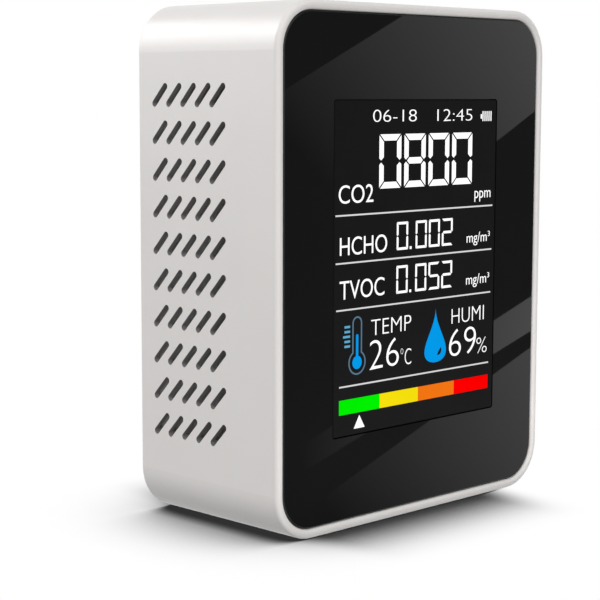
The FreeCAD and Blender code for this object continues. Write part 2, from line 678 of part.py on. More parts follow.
def box(name, left, front, bottom, length, deep, tall):
    """A box from its left front bottom corner."""
    made = doc.addObject("Part::Box", name)
    made.setExpression("Length", formula(length))
    made.setExpression("Width", formula(deep))
    made.setExpression("Height", formula(tall))
    return put(made, left, front, bottom)


TO_BACK = Rotation(Vector(1, 0, 0), -90)
UPWARDS = Rotation()


def cylinder(name, x, depth_text, z, radius, length, turn=TO_BACK):
    """A cylinder from the middle of its front, or lower, end."""
    made = doc.addObject("Part::Cylinder", name)
    made.Placement = Placement(Vector(), turn)
    made.setExpression("Radius", formula(radius))
    made.setExpression("Height", formula(length))
    return put(made, x, depth_text, z)


def cone(name, x, depth_text, z, radius1, radius2, length, turn=TO_BACK):
    made = doc.addObject("Part::Cone", name)
    made.Placement = Placement(Vector(), turn)
    made.setExpression("Radius1", formula(radius1))
    made.setExpression("Radius2", formula(radius2))
    made.setExpression("Height", formula(length))
    return put(made, x, depth_text, z)


def fuse(name, *parts):
    made = doc.addObject("Part::MultiFuse", name)
    made.Shapes = list(parts)
    return made


def cut(name, base, *tools):
    """The base without the tools."""
    made = doc.addObject("Part::Cut", name)
    made.Base = base
    made.Tool = tools[0] if len(tools) == 1 else fuse(f"{name}_tools", *tools)
    return made


def group(name, parts):
    """Several separate solids in one node."""
    made = doc.addObject("Part::Compound", name)
    made.Links = list(parts)
    return keep(made)


def round_edges(name, base, radius, wanted):
    """Rounds the edges of a primitive that the test picks."""
    doc.recompute()
    made = doc.addObject("Part::Fillet", name)
    made.Base = base
    r = number(radius)
    made.Edges = [(i, r, r) for i, e in enumerate(base.Shape.Edges, start=1) if wanted(e)]
    return made


def solid_feature(name, shape):
    """A piece whose shape is worked out by a loop rather than by features."""
    made = doc.addObject("Part::Feature", name)
    made.Shape = shape
    return keep(made)


# Case


def boss_places():
    for x in ("-width / 2 + boss_inset", "width / 2 - boss_inset"):
        for z in ("boss_inset", "height - boss_inset"):
            yield x, z


def board_hole_places():
    for x in (f"{BOARD_LEFT} + board_hole_inset", f"{BOARD_RIGHT} - board_hole_inset"):
        for z in (f"{BOARD_BOTTOM} + board_hole_rise", f"{BOARD_TOP} - board_hole_rise"):
            yield x, z


def case_outline(sketch, inset):
    """The case's rounded outline, moved in by an inset."""
    side = f"width / 2 - {inset}"
    rounded_rectangle(sketch, f"-({side})", inset, side, f"height - {inset}", f"(corner_radius - {inset})")


def opening_outline(sketch):
    """The opening behind the window, through which the display shows."""
    low, high = f"{MIDDLE} - {OPENING_HALF_HEIGHT}", f"{MIDDLE} + {OPENING_HALF_HEIGHT}"
    rectangle(sketch, f"-{OPENING_HALF_WIDTH}", low, OPENING_HALF_WIDTH, high)


def vent_slot(sketch, x, z, rise):
    """The first slot of a field of vents, from its centre. It falls to the right if its rise is negative."""
    run, rise = "vent_run / 2", f"({rise}) / 2"
    slot(sketch, f"{x} - {run}", f"{z} - {rise}", f"{x} + {run}", f"{z} + {rise}", "vent_width / 2")


def make_housing():
    """The one-piece case: rim, four walls, front wall, bosses, posts and side vents."""
    body = new_body("housing")
    outline = front_sketch(body, "0")
    rounded_rectangle(outline, "-width / 2", "0", "width / 2", "height", "corner_radius")
    pad_back(body, outline, "depth")

    rim = front_sketch(body, "0")
    case_outline(rim, "rim_width")
    cut_back(body, rim, WEB_FRONT)
    rim_middle = number("(edge_round + rim_width) / 2")
    side, top = number("width / 2") - rim_middle, number("height") - rim_middle

    def is_outer(edge_box):
        return max(-edge_box.XMin, edge_box.XMax) > side or edge_box.ZMax > top or edge_box.ZMin < rim_middle

    soften(body, "Fillet", edges_at(body.Tip.Shape, "0", is_outer), "edge_round")
    soften(body, "Fillet", edges_at(body.Tip.Shape, "0", lambda b: not is_outer(b)), "rim_round")
    soften(body, "Fillet", edges_at(body.Tip.Shape, "depth"), "back_round")

    cavity = front_sketch(body, "depth")
    case_outline(cavity, "wall")
    cut_front(body, cavity, f"depth - ({WEB_BACK})")
    rebate = front_sketch(body, "depth")
    case_outline(rebate, "cover_lip")
    cut_front(body, rebate, "cover_thick")

    opening = front_sketch(body, WEB_FRONT)
    opening_outline(opening)
    cut_back(body, opening, "web_thick")

    pocket = side_sketch(body, "0")
    around = "vent_width / 2 + pocket_margin"
    rounded_rectangle(
        pocket,
        f"{VENT_FRONT} - vent_run / 2 - {around}",
        f"{VENT_LOW} - vent_rise / 2 - {around}",
        f"{VENT_BACK} + vent_run / 2 + {around}",
        f"{VENT_HIGH} + vent_rise / 2 + {around}",
        "pocket_round",
    )
    cut_both_ways(body, pocket, "width - 2 * (wall - pocket_depth)")

    bosses = front_sketch(body, WEB_BACK)
    for x, z in boss_places():
        circle(bosses, x, z, "boss_radius")
    pad_back(body, bosses, f"{COVER_FRONT} - ({WEB_BACK})")
    pilots = front_sketch(body, COVER_FRONT)
    for x, z in boss_places():
        circle(pilots, x, z, "boss_pilot_radius")
    cut_front(body, pilots, "boss_pilot_depth")

    posts = front_sketch(body, WEB_BACK)
    for x, z in board_hole_places():
        circle(posts, x, z, "post_radius")
    pad_back(body, posts, f"{BOARD_FRONT} - ({WEB_BACK})")
    post_pilots = front_sketch(body, BOARD_FRONT)
    for x, z in board_hole_places():
        circle(post_pilots, x, z, "pilot_radius")
    cut_front(body, post_pilots, "pilot_depth")

    floor_posts = floor_sketch(body, "wall")
    for x, d in POWER_POSTS:
        circle(floor_posts, x, y_of(d), "power_post_radius")
    pad_up(body, floor_posts, "power_lift")
    floor_pilots = floor_sketch(body, POWER_BOTTOM)
    for x, d in POWER_POSTS:
        circle(floor_pilots, x, y_of(d), "pilot_radius")
    cut_down(body, floor_pilots, "power_pilot_depth")

    vent = side_sketch(body, "0")
    vent_slot(vent, VENT_FRONT, VENT_LOW, "-vent_rise")
    through = cut_both_ways(body, vent, "width + 2 * wall")
    repeat(body, through, vent, "vent_rows", "vent_row_pitch", "vent_columns", "vent_column_pitch")
    return keep(body)


def make_back_cover():
    """The flat cover in the case's back rebate, with vents, the charging opening and the button hole."""
    body = new_body("back_cover")
    plate = front_sketch(body, COVER_FRONT)
    case_outline(plate, "(cover_lip + cover_gap)")
    pad_back(body, plate, "cover_thick")
    soften(body, "Fillet", edges_at(body.Tip.Shape, "depth"), "cover_round")

    dish = front_sketch(body, "depth")
    circle(dish, BUTTON_X, BUTTON_Z, "button_dish_radius")
    cut_front(body, dish, "button_dish_depth")
    dish_rim = edges_at(body.Tip.Shape, "depth", round_one(BUTTON_X, "button_dish_radius"))
    soften(body, "Fillet", dish_rim, "button_dish_round")
    hole = front_sketch(body, "depth")
    circle(hole, BUTTON_X, BUTTON_Z, "(button_radius + button_gap)")
    cut_front(body, hole, "cover_thick")

    usb_z = f"({POWER_TOP} + usb_height / 2)"
    for margin, deep in (("(usb_gap + usb_dish_margin)", "usb_dish_depth"), ("usb_gap", "cover_thick")):
        opening = front_sketch(body, "depth")
        rounded_rectangle(
            opening,
            f"{USB_X} - usb_width / 2 - {margin}",
            f"{usb_z} - usb_height / 2 - {margin}",
            f"{USB_X} + usb_width / 2 + {margin}",
            f"{usb_z} + usb_height / 2 + {margin}",
            f"({margin} + usb_slope)",
        )
        cut_front(body, opening, deep)

    holes = front_sketch(body, "depth")
    for x, z in boss_places():
        circle(holes, x, z, "cover_hole_radius")
    cut_front(body, holes, "cover_thick")
    mouths = edges_at(body.Tip.Shape, "depth", round_one("width / 2 - boss_inset", "cover_hole_radius"))
    soften(body, "Chamfer", mouths, "cover_screw_head - cover_hole_radius + cover_screw_sink")

    ribs = front_sketch(body, COVER_FRONT)
    top = "(height - wall - rib_gap)"
    boss_side = "(width / 2 - boss_inset - boss_radius)"
    end = f"({boss_side} - top_rib_inset)"
    rectangle(ribs, f"-{end}", f"{top} - rib_thick", end, top)
    low = "wall + rib_gap"
    low_end = f"{POWER_LEFT} - low_rib_inset"
    rectangle(ribs, f"low_rib_inset - {boss_side}", low, low_end, f"{low} + rib_thick")
    pad_front(body, ribs, "rib_length")

    vent = front_sketch(body, "depth")
    first_x = "(-(back_vent_columns - 1) / 2 * vent_column_pitch)"
    first_z = "(height - back_vent_drop - (back_vent_rows - 1) / 2 * vent_row_pitch)"
    vent_slot(vent, first_x, first_z, "vent_rise")
    through = cut_front(body, vent, "cover_thick")
    repeat(body, through, vent, "back_vent_rows", "vent_row_pitch", "back_vent_columns", "vent_column_pitch")
    return keep(body)


# Front panel


def make_front_panel():
    """The glossy black panel, with the opening that the window fills."""
    body = new_body("front_panel")
    outline = front_sketch(body, "panel_recess")
    case_outline(outline, PANEL_EDGE)
    pad_back(body, outline, "panel_thick")
    soften(body, "Chamfer", edges_at(body.Tip.Shape, "panel_recess"), "panel_bevel")
    opening = front_sketch(body, "panel_recess")
    window_outline(opening, "window_gap")
    cut_back(body, opening, "panel_thick")
    return keep(body)


def window_outline(sketch, margin):
    rounded_rectangle(
        sketch,
        f"-{WINDOW_HALF_WIDTH} - {margin}",
        f"{MIDDLE} - {WINDOW_HALF_HEIGHT} - {margin}",
        f"{WINDOW_HALF_WIDTH} + {margin}",
        f"{MIDDLE} + {WINDOW_HALF_HEIGHT} + {margin}",
        f"(window_round + {margin})",
    )


def make_display_window():
    """The dull dark window in front of the display."""
    body = new_body("display_window")
    outline = front_sketch(body, "panel_recess")
    window_outline(outline, "0")
    pad_back(body, outline, "panel_thick")
    soften(body, "Chamfer", edges_at(body.Tip.Shape, "panel_recess"), "panel_bevel")
    return keep(body)


def make_panel_adhesive():
    """The sheet of double-sided tape that holds the panel and the window on the front wall."""
    body = new_body("panel_adhesive")
    outline = front_sketch(body, PANEL_BACK)
    case_outline(outline, f"({PANEL_EDGE} + tape_inset)")
    pad_back(body, outline, "tape_thick")
    opening = front_sketch(body, PANEL_BACK)
    opening_outline(opening)
    cut_back(body, opening, "tape_thick")
    return keep(body)


# Display module


def make_display_gasket():
    """The foam frame between the front wall and the display."""
    outer = box(
        "gasket_outer",
        f"-{OPENING_HALF_WIDTH} - gasket_band",
        WEB_BACK,
        f"{MIDDLE} - {OPENING_HALF_HEIGHT} - gasket_band",
        f"2 * {OPENING_HALF_WIDTH} + 2 * gasket_band",
        "gasket_thick",
        f"2 * {OPENING_HALF_HEIGHT} + 2 * gasket_band",
    )
    inner = box(
        "gasket_inner",
        f"-{OPENING_HALF_WIDTH}",
        WEB_BACK,
        f"{MIDDLE} - {OPENING_HALF_HEIGHT}",
        f"2 * {OPENING_HALF_WIDTH}",
        "gasket_thick",
        f"2 * {OPENING_HALF_HEIGHT}",
    )
    return keep(cut("display_gasket", outer, inner))


def make_display_sheets():
    """The glasses, films and sheets that are stacked inside the display's frame."""
    ledge_top = f"({GLASS_BOTTOM} + driver_ledge)"
    stack = [
        ("lcd_front_polariser", LCD_FRONT, "film_thick", ledge_top, "film_inset"),
        ("lcd_front_glass", FRONT_GLASS, "glass_thick", ledge_top, "0"),
        ("lcd_rear_glass", REAR_GLASS, "glass_thick", GLASS_BOTTOM, "0"),
        ("lcd_rear_polariser", REAR_FILM, "film_thick", LAMP_TOP, "film_inset"),
        ("prism_sheet", PRISM, "sheet_thick", LAMP_TOP, "0"),
        ("diffuser_sheet", DIFFUSER, "sheet_thick", LAMP_TOP, "0"),
        ("light_guide", GUIDE, "guide_thick", LAMP_TOP, "0"),
        ("reflector_sheet", REFLECTOR, "sheet_thick", GLASS_BOTTOM, "0"),
    ]
    for name, front, thick, bottom, inset in stack:
        half = f"({GLASS_HALF_WIDTH} - {inset})"
        tall = f"{GLASS_TOP} - {bottom} - 2 * {inset}"
        keep(box(name, f"-{half}", front, f"{bottom} + {inset}", f"2 * {half}", thick, tall))


def make_backlight_frame():
    """The white plastic frame round the display's sheets, notched for the ribbon."""
    deep = f"{LCD_BACK} - ({LCD_FRONT})"
    wide, tall = f"2 * {LCD_HALF_WIDTH}", f"({LCD_TOP} - {LCD_BOTTOM})"
    outer = box("frame_outer", f"-{LCD_HALF_WIDTH}", LCD_FRONT, LCD_BOTTOM, wide, deep, tall)
    inner = box(
        "frame_inner",
        f"-{LCD_HALF_WIDTH} + lcd_border",
        LCD_FRONT,
        f"{LCD_BOTTOM} + lcd_border",
        f"{wide} - 2 * lcd_border",
        deep,
        f"{tall} - 2 * lcd_border",
    )
    notch = box(
        "frame_notch",
        "-ribbon_width / 2 - 2 * lcd_gap",
        LCD_FRONT,
        LCD_BOTTOM,
        "ribbon_width + 4 * lcd_gap",
        f"{REAR_GLASS} - ({LCD_FRONT})",
        "lcd_border",
    )
    return keep(cut("backlight_frame", outer, inner, notch))


def make_backlight_lamps():
    """The white lamps along the light guide's lower edge."""
    front = f"{REFLECTOR} - led_thick"
    lamps = []
    for i in range(count("led_count")):
        x = f"({i} - (led_count - 1) / 2) * led_pitch - led_width / 2"
        lamps.append(box(f"lamp_{i + 1}", x, front, GLASS_BOTTOM, "led_width", "led_thick", "led_height"))
    return group("backlight_lamps", lamps)


def make_driver_chip():
    return keep(
        box(
            "lcd_driver_chip",
            "-driver_width / 2",
            f"{REAR_GLASS} - driver_thick",
            f"{GLASS_BOTTOM} + ribbon_bond + (driver_ledge - ribbon_bond - driver_height) / 2",
            "driver_width",
            "driver_thick",
            "driver_height",
        )
    )


def make_display_ribbon():
    """The ribbon from the glass round the main board's lower edge to its connector."""
    body = new_body("display_ribbon")
    profile = side_sketch(body, "-ribbon_width / 2")
    front, back = y_of(f"{REAR_GLASS} - ribbon_thick"), y_of(f"{BOARD_BACK} + ribbon_lift + ribbon_thick")
    inner_front, inner_back = f"{front} + ribbon_thick", f"{back} - ribbon_thick"
    bond, grip = f"{GLASS_BOTTOM} + ribbon_bond", f"{SOCKET_BOTTOM} + ribbon_grip"
    low = f"{LCD_BOTTOM} - ribbon_drop"
    ends = [
        ((front, bond), (front, low)),
        ((back, low), (back, grip)),
        ((back, grip), (inner_back, grip)),
        ((inner_back, grip), (inner_back, low)),
        ((inner_front, low), (inner_front, bond)),
        ((inner_front, bond), (front, bond)),
    ]
    lines = [Part.LineSegment(*[Vector(number(y), number(z), 0) for y, z in pair]) for pair in ends]
    middle, reach = number(f"({front} + {back}) / 2"), number(f"({back} - ({front})) / 2")
    centre = Vector(middle, number(low), 0)

    def bend(radius):
        across, down = Vector(radius, 0, 0), Vector(0, -radius, 0)
        return Part.Arc(centre - across, centre + down, centre + across)

    outer_bend, inner_bend = bend(reach), bend(reach - number("ribbon_thick"))
    outline = [lines[0], outer_bend, *lines[1:4], inner_bend, *lines[4:]]
    for curve in outline:
        profile.addGeometry(curve)
    for i in range(len(outline)):
        j = (i + 1) % len(outline)
        end = 1 if outline[i] is inner_bend else 2
        start = 2 if outline[j] is inner_bend else 1
        profile.addConstraint(Sketcher.Constraint("Coincident", i, end, j, start))
    for curve, point, y, z in (
        (0, 1, front, bond),
        (0, 2, front, low),
        (2, 1, back, low),
        (2, 2, back, grip),
        (3, 2, inner_back, grip),
        (4, 2, inner_back, low),
        (6, 1, inner_front, low),
        (6, 2, inner_front, bond),
    ):
        pin_point(profile, curve, point, y, z)
    for curve in (1, 5):
        dimension(profile, "DistanceY", -1, 1, curve, 3, size=low)
    pad_up(body, profile, "ribbon_width")
    return keep(body)


def make_ribbon_socket():
    """The connector on the main board that takes the display's ribbon, and its latch."""
    left = "-socket_width / 2"
    shell = box(
        "socket_shell", left, BOARD_BACK, SOCKET_BOTTOM, "socket_width", "socket_thick", "socket_height"
    )
    slit = box(
        "socket_slit",
        "-ribbon_width / 2 - lcd_gap",
        f"{BOARD_BACK} + ribbon_lift - ribbon_play",
        SOCKET_BOTTOM,
        "ribbon_width + 2 * lcd_gap",
        "ribbon_thick + 2 * ribbon_play",
        "ribbon_grip + ribbon_play",
    )
    keep(cut("ribbon_socket", shell, slit))
    latch_front = f"{BOARD_BACK} + socket_thick"
    keep(box("ribbon_latch", left, latch_front, SOCKET_BOTTOM, "socket_width", "latch_thick", "latch_height"))


def make_display_pads():
    """Two strips of foam tape between the display and the main board."""
    strips = []
    low = f"{MIDDLE} + pad_lift - pad_height / 2"
    for i, left in enumerate((f"-{LCD_HALF_WIDTH} + pad_inset", "-pad_width / 2")):
        strips.append(box(f"pad_{i + 1}", left, LCD_BACK, low, "pad_width", "pad_thick", "pad_height"))
    return group("display_pads", strips)


# Main board and its chips


def voc_pins():
    reach = "voc_pin_circle * cos(45)"
    return [(f"{VOC_X} {sx} {reach}", f"{VOC_Z} {sz} {reach}") for sx in "+-" for sz in "+-"]


def cell_pins():
    """Three pins evenly round the axis, the first straight above it."""
    angles = [f"(90 + {i} * 360 / 3)" for i in range(3)]
    return [
        (f"{CELL_X} + cell_pin_circle * cos({angle})", f"{CELL_Z} + cell_pin_circle * sin({angle})")
        for angle in angles
    ]


def co2_pins():
    places = []
    for x in (f"{CO2_LEFT} + co2_pin_inset", f"{CO2_LEFT} + co2_width - co2_pin_inset"):
        for i in range(count("co2_pin_count")):
            places.append((x, f"{CO2_MIDDLE} + ({i} - (co2_pin_count - 1) / 2) * co2_pin_pitch"))
    return places


def link_places():
    return [f"{LINK_X} + ({i} - (link_count - 1) / 2) * link_pitch" for i in range(count("link_count"))]


def make_main_board():
    """The main circuit board, drilled for screws and pins and slotted round the climate sensor."""
    body = new_body("main_board")
    outline = front_sketch(body, BOARD_FRONT)
    rounded_rectangle(outline, BOARD_LEFT, BOARD_BOTTOM, BOARD_RIGHT, BOARD_TOP, "board_round")
    pad_back(body, outline, "board_thick")
    holes = front_sketch(body, BOARD_FRONT)
    for x, z in board_hole_places():
        circle(holes, x, z, "board_hole_radius")
    for x, z in voc_pins() + cell_pins() + co2_pins():
        circle(holes, x, z, "(pin_radius + pin_play)")
    for x in link_places():
        circle(holes, x, LINK_Z, "(link_pin * cos(45) + pin_play)")
    cut_back(body, holes, "board_thick")
    slots = front_sketch(body, BOARD_FRONT)
    left, right = f"{CLIMATE_X} - {CLIMATE_ISLAND}", f"{CLIMATE_X} + {CLIMATE_ISLAND}"
    low, high = f"{CLIMATE_Z} - {CLIMATE_ISLAND}", f"{CLIMATE_Z} + {CLIMATE_ISLAND}"
    top = f"{high} + climate_slot"
    rectangle(slots, right, low, f"{right} + climate_slot", top)
    rectangle(slots, left, high, f"{right} - climate_bridge", top)
    cut_back(body, slots, "board_thick")
    return keep(body)


def on_board(name, x, z, length, tall, thick, lift="0"):
    """A box on the back of the main board, from its centre."""
    left, bottom = f"{x} - ({length}) / 2", f"{z} - ({tall}) / 2"
    return box(name, left, f"{BOARD_BACK} + {lift}", bottom, length, thick, tall)


def lead_profile(reach, thick, foot, top):
    """A gull-wing lead in side view, from the chip's side outwards along X, with Y off the board."""
    knee = (reach - foot) / 2
    bend = knee + thick
    upper = [(0, top), (bend, top), (bend, thick), (reach, thick)]
    lower = [(reach, 0), (knee, 0), (knee, top - thick), (0, top - thick)]
    return [Vector(x, y, 0) for x, y in upper + lower]


def chip_leads(body_width, per_side, pitch, width, sides, top):
    """All the leads of a chip lying in the XY plane, centred on the origin, as separate solids."""
    reach, thick, foot = (number(n) for n in ("lead_reach", "lead_thick", "lead_foot"))
    points = lead_profile(reach, thick, foot, top)
    lead = Part.Face(Part.makePolygon(points + points[:1])).extrude(Vector(0, 0, width))
    lead.Placement = Placement(Vector(body_width / 2, width / 2, 0), Rotation(Vector(1, 0, 0), 90))
    leads = []
    for side in range(0, 360, 360 // sides):
        for i in range(per_side):
            one = lead.copy()
            one.translate(Vector(0, (i - (per_side - 1) / 2) * pitch, 0))
            one.rotate(Vector(), Vector(0, 0, 1), side)
            leads.append(one)
    return Part.makeCompound(leads)


def place_feature(obj, x, depth_text, z, turn):
    obj.Placement = Placement(Vector(), turn)
    return put(obj, x, depth_text, z)


def make_microcontroller():
    """The flat square chip and the leads along its four sides."""
    keep(on_board("microcontroller", MCU_X, MCU_Z, "mcu_size", "mcu_size", "mcu_thick", "chip_standoff"))
    top = number("chip_standoff + mcu_thick / 2")
    shape = chip_leads(
        number("mcu_size"), count("lead_count"), number("lead_pitch"), number("lead_width"), 4, top
    )
    leads = solid_feature("microcontroller_leads", shape)
    place_feature(leads, MCU_X, BOARD_BACK, MCU_Z, TO_BACK)


def make_small_parts():
    """The crystal, capacitors, resistors and climate sensor on the main board."""
    crystal_z = f"{MCU_Z} + crystal_rise"
    crystal = on_board("crystal_blank", MCU_X, crystal_z, "crystal_length", "crystal_width", "crystal_thick")
    keep(round_edges("crystal", crystal, "crystal_width / 4", lambda e: e.BoundBox.YLength > SLACK))

    top_row = f"{BOARD_TOP} - passive_drop"
    for kind, before in (("capacitor", "0"), ("resistor", "capacitor_count")):
        row = []
        for i in range(count(f"{kind}_count")):
            x = f"{BOARD_LEFT} + passive_inset + ({i} + {before}) * passive_pitch"
            name = f"{kind}_{i + 1}"
            row.append(on_board(name, x, top_row, "passive_length", "passive_width", f"{kind}_thick"))
        group(f"chip_{kind}s", row)

    shell = on_board("climate_shell", CLIMATE_X, CLIMATE_Z, "climate_size", "climate_size", "climate_thick")
    hole_front = f"{BOARD_BACK} + climate_thick / 2"
    air_hole = cylinder("climate_air", CLIMATE_X, hole_front, CLIMATE_Z, "climate_hole", "climate_thick / 2")
    keep(cut("climate_sensor", shell, air_hole))


# Gas sensors


def pin_group(name, places, front, length):
    """Round pins of one length, in one node."""
    pins = [cylinder(f"{name}_{i}", x, front, z, "pin_radius", length) for i, (x, z) in enumerate(places)]
    return group(name, pins)


def make_voc_sensor():
    """The metal can that senses volatile compounds: flanged can, mesh window and four pins."""
    flange_radius = "voc_radius + voc_flange"
    flange = cylinder("voc_flange_disc", VOC_X, BOARD_BACK, VOC_Z, flange_radius, "voc_flange_thick")
    can = cylinder("voc_can_body", VOC_X, BOARD_BACK, VOC_Z, "voc_radius", "voc_height")
    mesh_front = f"{BOARD_BACK} + voc_height - voc_mesh_thick"
    seat, mesh = [
        cylinder(name, VOC_X, mesh_front, VOC_Z, "voc_window", "voc_mesh_thick")
        for name in ("voc_mesh_seat", "voc_sensor_mesh")
    ]
    keep(cut("voc_sensor_can", fuse("voc_can_blank", flange, can), seat))
    keep(mesh)
    pin_group("voc_sensor_pins", voc_pins(), f"{BOARD_FRONT} - pin_tail", "board_thick + pin_tail")


def make_formaldehyde_cell():
    """The round electrochemical cell on three pins, with a shallow gas port."""
    front = f"{BOARD_BACK} + cell_standoff"
    blank = cylinder("cell_blank", CELL_X, front, CELL_Z, "cell_radius", "cell_height")
    back = number(y_of(f"{front} + cell_height"))
    rounded = round_edges("cell_rounded", blank, "cell_round", lambda e: abs(e.BoundBox.YMin - back) < NEAR)
    port_front = f"{front} + cell_height - cell_port_depth"
    port = cylinder("cell_port_disc", CELL_X, port_front, CELL_Z, "cell_port", "cell_port_depth")
    keep(cut("formaldehyde_cell", rounded, port))
    pin_length = "pin_tail + board_thick + cell_standoff"
    pin_group("formaldehyde_pins", cell_pins(), f"{BOARD_FRONT} - pin_tail", pin_length)


def filter_discs(name):
    """The two round places of the gas filters at the back of the optical chamber."""
    x, front = f"{CO2_LEFT} + co2_width / 2", f"{SHELL_FRONT} + co2_shell_thick - co2_filter_thick"
    discs = []
    for i, sign in enumerate("-+"):
        z = f"{CO2_MIDDLE} {sign} co2_filter_spacing / 2"
        discs.append(cylinder(f"{name}_{i}", x, front, z, "co2_filter_radius", "co2_filter_thick"))
    return discs


def make_co2_sensor():
    """The infrared carbon dioxide sensor: a gilt chamber with two gas filters, on its own board and pins."""
    body = new_body("co2_sensor_board")
    outline = front_sketch(body, CO2_FRONT)
    rectangle(outline, CO2_LEFT, CO2_BOTTOM, f"{CO2_LEFT} + co2_width", CO2_TOP)
    pad_back(body, outline, "co2_board_thick")
    holes = front_sketch(body, CO2_FRONT)
    for x, z in co2_pins():
        circle(holes, x, z, "(pin_radius + pin_play)")
    cut_back(body, holes, "co2_board_thick")
    keep(body)

    blank = box(
        "chamber_blank",
        f"{CO2_LEFT} + (co2_width - co2_shell_width) / 2",
        SHELL_FRONT,
        f"{CO2_BOTTOM} + co2_shell_inset",
        "co2_shell_width",
        "co2_shell_thick",
        f"{CO2_TOP} - {CO2_BOTTOM} - 2 * co2_shell_inset",
    )
    seat_y = number(y_of(SHELL_FRONT)) + NEAR
    rounded = round_edges("chamber_rounded", blank, "co2_shell_round", lambda e: e.BoundBox.YMax > seat_y)
    keep(cut("co2_sensor_chamber", rounded, *filter_discs("filter_seat")))
    group("co2_sensor_filters", filter_discs("filter"))
    pin_length = f"{SHELL_FRONT} - ({BOARD_FRONT}) + pin_tail + co2_pin_end"
    pin_group("co2_sensor_pins", co2_pins(), f"{BOARD_FRONT} - pin_tail", pin_length)


# Battery


def make_battery():
    """The pouch cell, its foam tape and the taped protection circuit at its top end."""
    wide, tall = f"({BATTERY_RIGHT} - {BATTERY_LEFT})", f"({BATTERY_TOP} - {BATTERY_BOTTOM})"
    keep(
        box(
            "battery_pad",
            f"{BATTERY_LEFT} + battery_pad_inset",
            BOARD_BACK,
            f"{BATTERY_BOTTOM} + battery_pad_inset",
            f"{wide} - 2 * battery_pad_inset",
            "battery_pad_thick",
            f"{tall} - 2 * battery_pad_inset",
        )
    )
    blank = box("battery_blank", BATTERY_LEFT, BATTERY_FRONT, BATTERY_BOTTOM, wide, "battery_thick", tall)
    keep(round_edges("battery_cell", blank, "battery_round", lambda e: True))
    keep(
        box(
            "battery_guard",
            GUARD_LEFT,
            f"{BATTERY_FRONT} + (battery_thick - guard_thick) / 2",
            BATTERY_TOP,
            f"{GUARD_RIGHT} - {GUARD_LEFT}",
            "guard_thick",
            "guard_height",
        )
    )


def wire_shape(points, radius):
    """A round wire along straight runs joined by arcs nearly as large as the runs allow."""
    places = [Vector(*p) for p in points]
    edges, at = [], places[0]
    for before, corner, after in zip(places, places[1:], places[2:]):
        one, two = before - corner, after - corner
        half_turn = (math.pi - one.getAngle(two)) / 2
        back_off = number("lead_wire_bend") * min(one.Length, two.Length)
        start = corner + one.normalize() * back_off
        end = corner + two.normalize() * back_off
        middle_line = (start + end) * 0.5 - corner
        arc_radius = back_off / math.tan(half_turn)
        to_centre = math.hypot(back_off, arc_radius)
        mid = corner + middle_line.normalize() * (to_centre - arc_radius)
        edges += [Part.LineSegment(at, start).toShape(), Part.Arc(start, mid, end).toShape()]
        at = end
    edges.append(Part.LineSegment(at, places[-1]).toShape())
    path = Part.Wire(edges)
    ring = Part.Wire(Part.makeCircle(radius, places[0], places[1] - places[0]))
    return path.makePipeShell([ring], True, False)


def make_battery_leads():
    """The two leads from the protection circuit over to the plug, side by side."""
    y = number(y_of(PLUG_DEPTH))
    top, plug_x, plug_z = number(f"{BATTERY_TOP} + guard_height"), number(PLUG_LEFT), number(PLUG_Z)
    out, spread = number(f"{GUARD_RIGHT} - lead_wire_inset"), number("lead_wire_spread")
    rise, nest, slope = (number(f"lead_wire_{part}") for part in ("rise", "nest", "slope"))
    half_pitch = number("lead_wire_pitch / 2")
    red_turn = plug_x - number("lead_wire_reach")
    for name, x, high, turn, end in (
        ("battery_lead_red", out, top + rise, red_turn, plug_z + half_pitch),
        ("battery_lead_black", out + spread, top + rise - nest, red_turn - half_pitch, plug_z - half_pitch),
    ):
        route = [(x, top), (x, high), (turn, high), (turn + slope, end), (plug_x, end)]
        solid_feature(name, wire_shape([(x, y, z) for x, z in route], number("lead_wire_radius")))


def make_battery_plug():
    """The battery's two-way plug and the socket on the main board that holds it."""
    front = f"{PLUG_DEPTH} - plug_thick / 2"
    bottom = f"({PLUG_Z} - plug_width / 2)"
    keep(box("battery_plug", PLUG_LEFT, front, bottom, "plug_length", "plug_thick", "plug_width"))
    mouth = f"({PLUG_LEFT} + plug_length - plug_depth)"
    around = "plug_play + plug_wall"
    shell = box(
        "battery_socket_shell",
        mouth,
        f"{front} - ({around})",
        f"{bottom} - ({around})",
        "plug_depth + plug_wall",
        f"plug_thick + 2 * ({around})",
        f"plug_width + 2 * ({around})",
    )
    room = box(
        "battery_socket_room",
        mouth,
        f"{front} - plug_play",
        f"{bottom} - plug_play",
        "plug_depth",
        "plug_thick + 2 * plug_play",
        "plug_width + 2 * plug_play",
    )
    keep(cut("battery_socket", shell, room))


# Power board


def on_power_board(name, left, front, length, deep, tall, lift="0"):
    return box(name, left, front, f"{POWER_TOP} + {lift}", length, deep, tall)


def make_power_board():
    """The small board that lies above the case floor and carries the charging socket and the switch."""
    body = new_body("power_board")
    outline = floor_sketch(body, POWER_BOTTOM)
    front, back = y_of(POWER_FRONT), y_of(POWER_BACK)
    rounded_rectangle(outline, POWER_LEFT, front, POWER_RIGHT, back, "board_round / 2")
    pad_up(body, outline, "board_thick")
    holes = floor_sketch(body, POWER_TOP)
    for x, d in POWER_POSTS:
        circle(holes, x, y_of(d), "board_hole_radius")
    for x in link_places():
        circle(holes, x, y_of(LINK_DEPTH), "(link_pin * cos(45) + pin_play)")
    cut_down(body, holes, "board_thick")
    return keep(body)


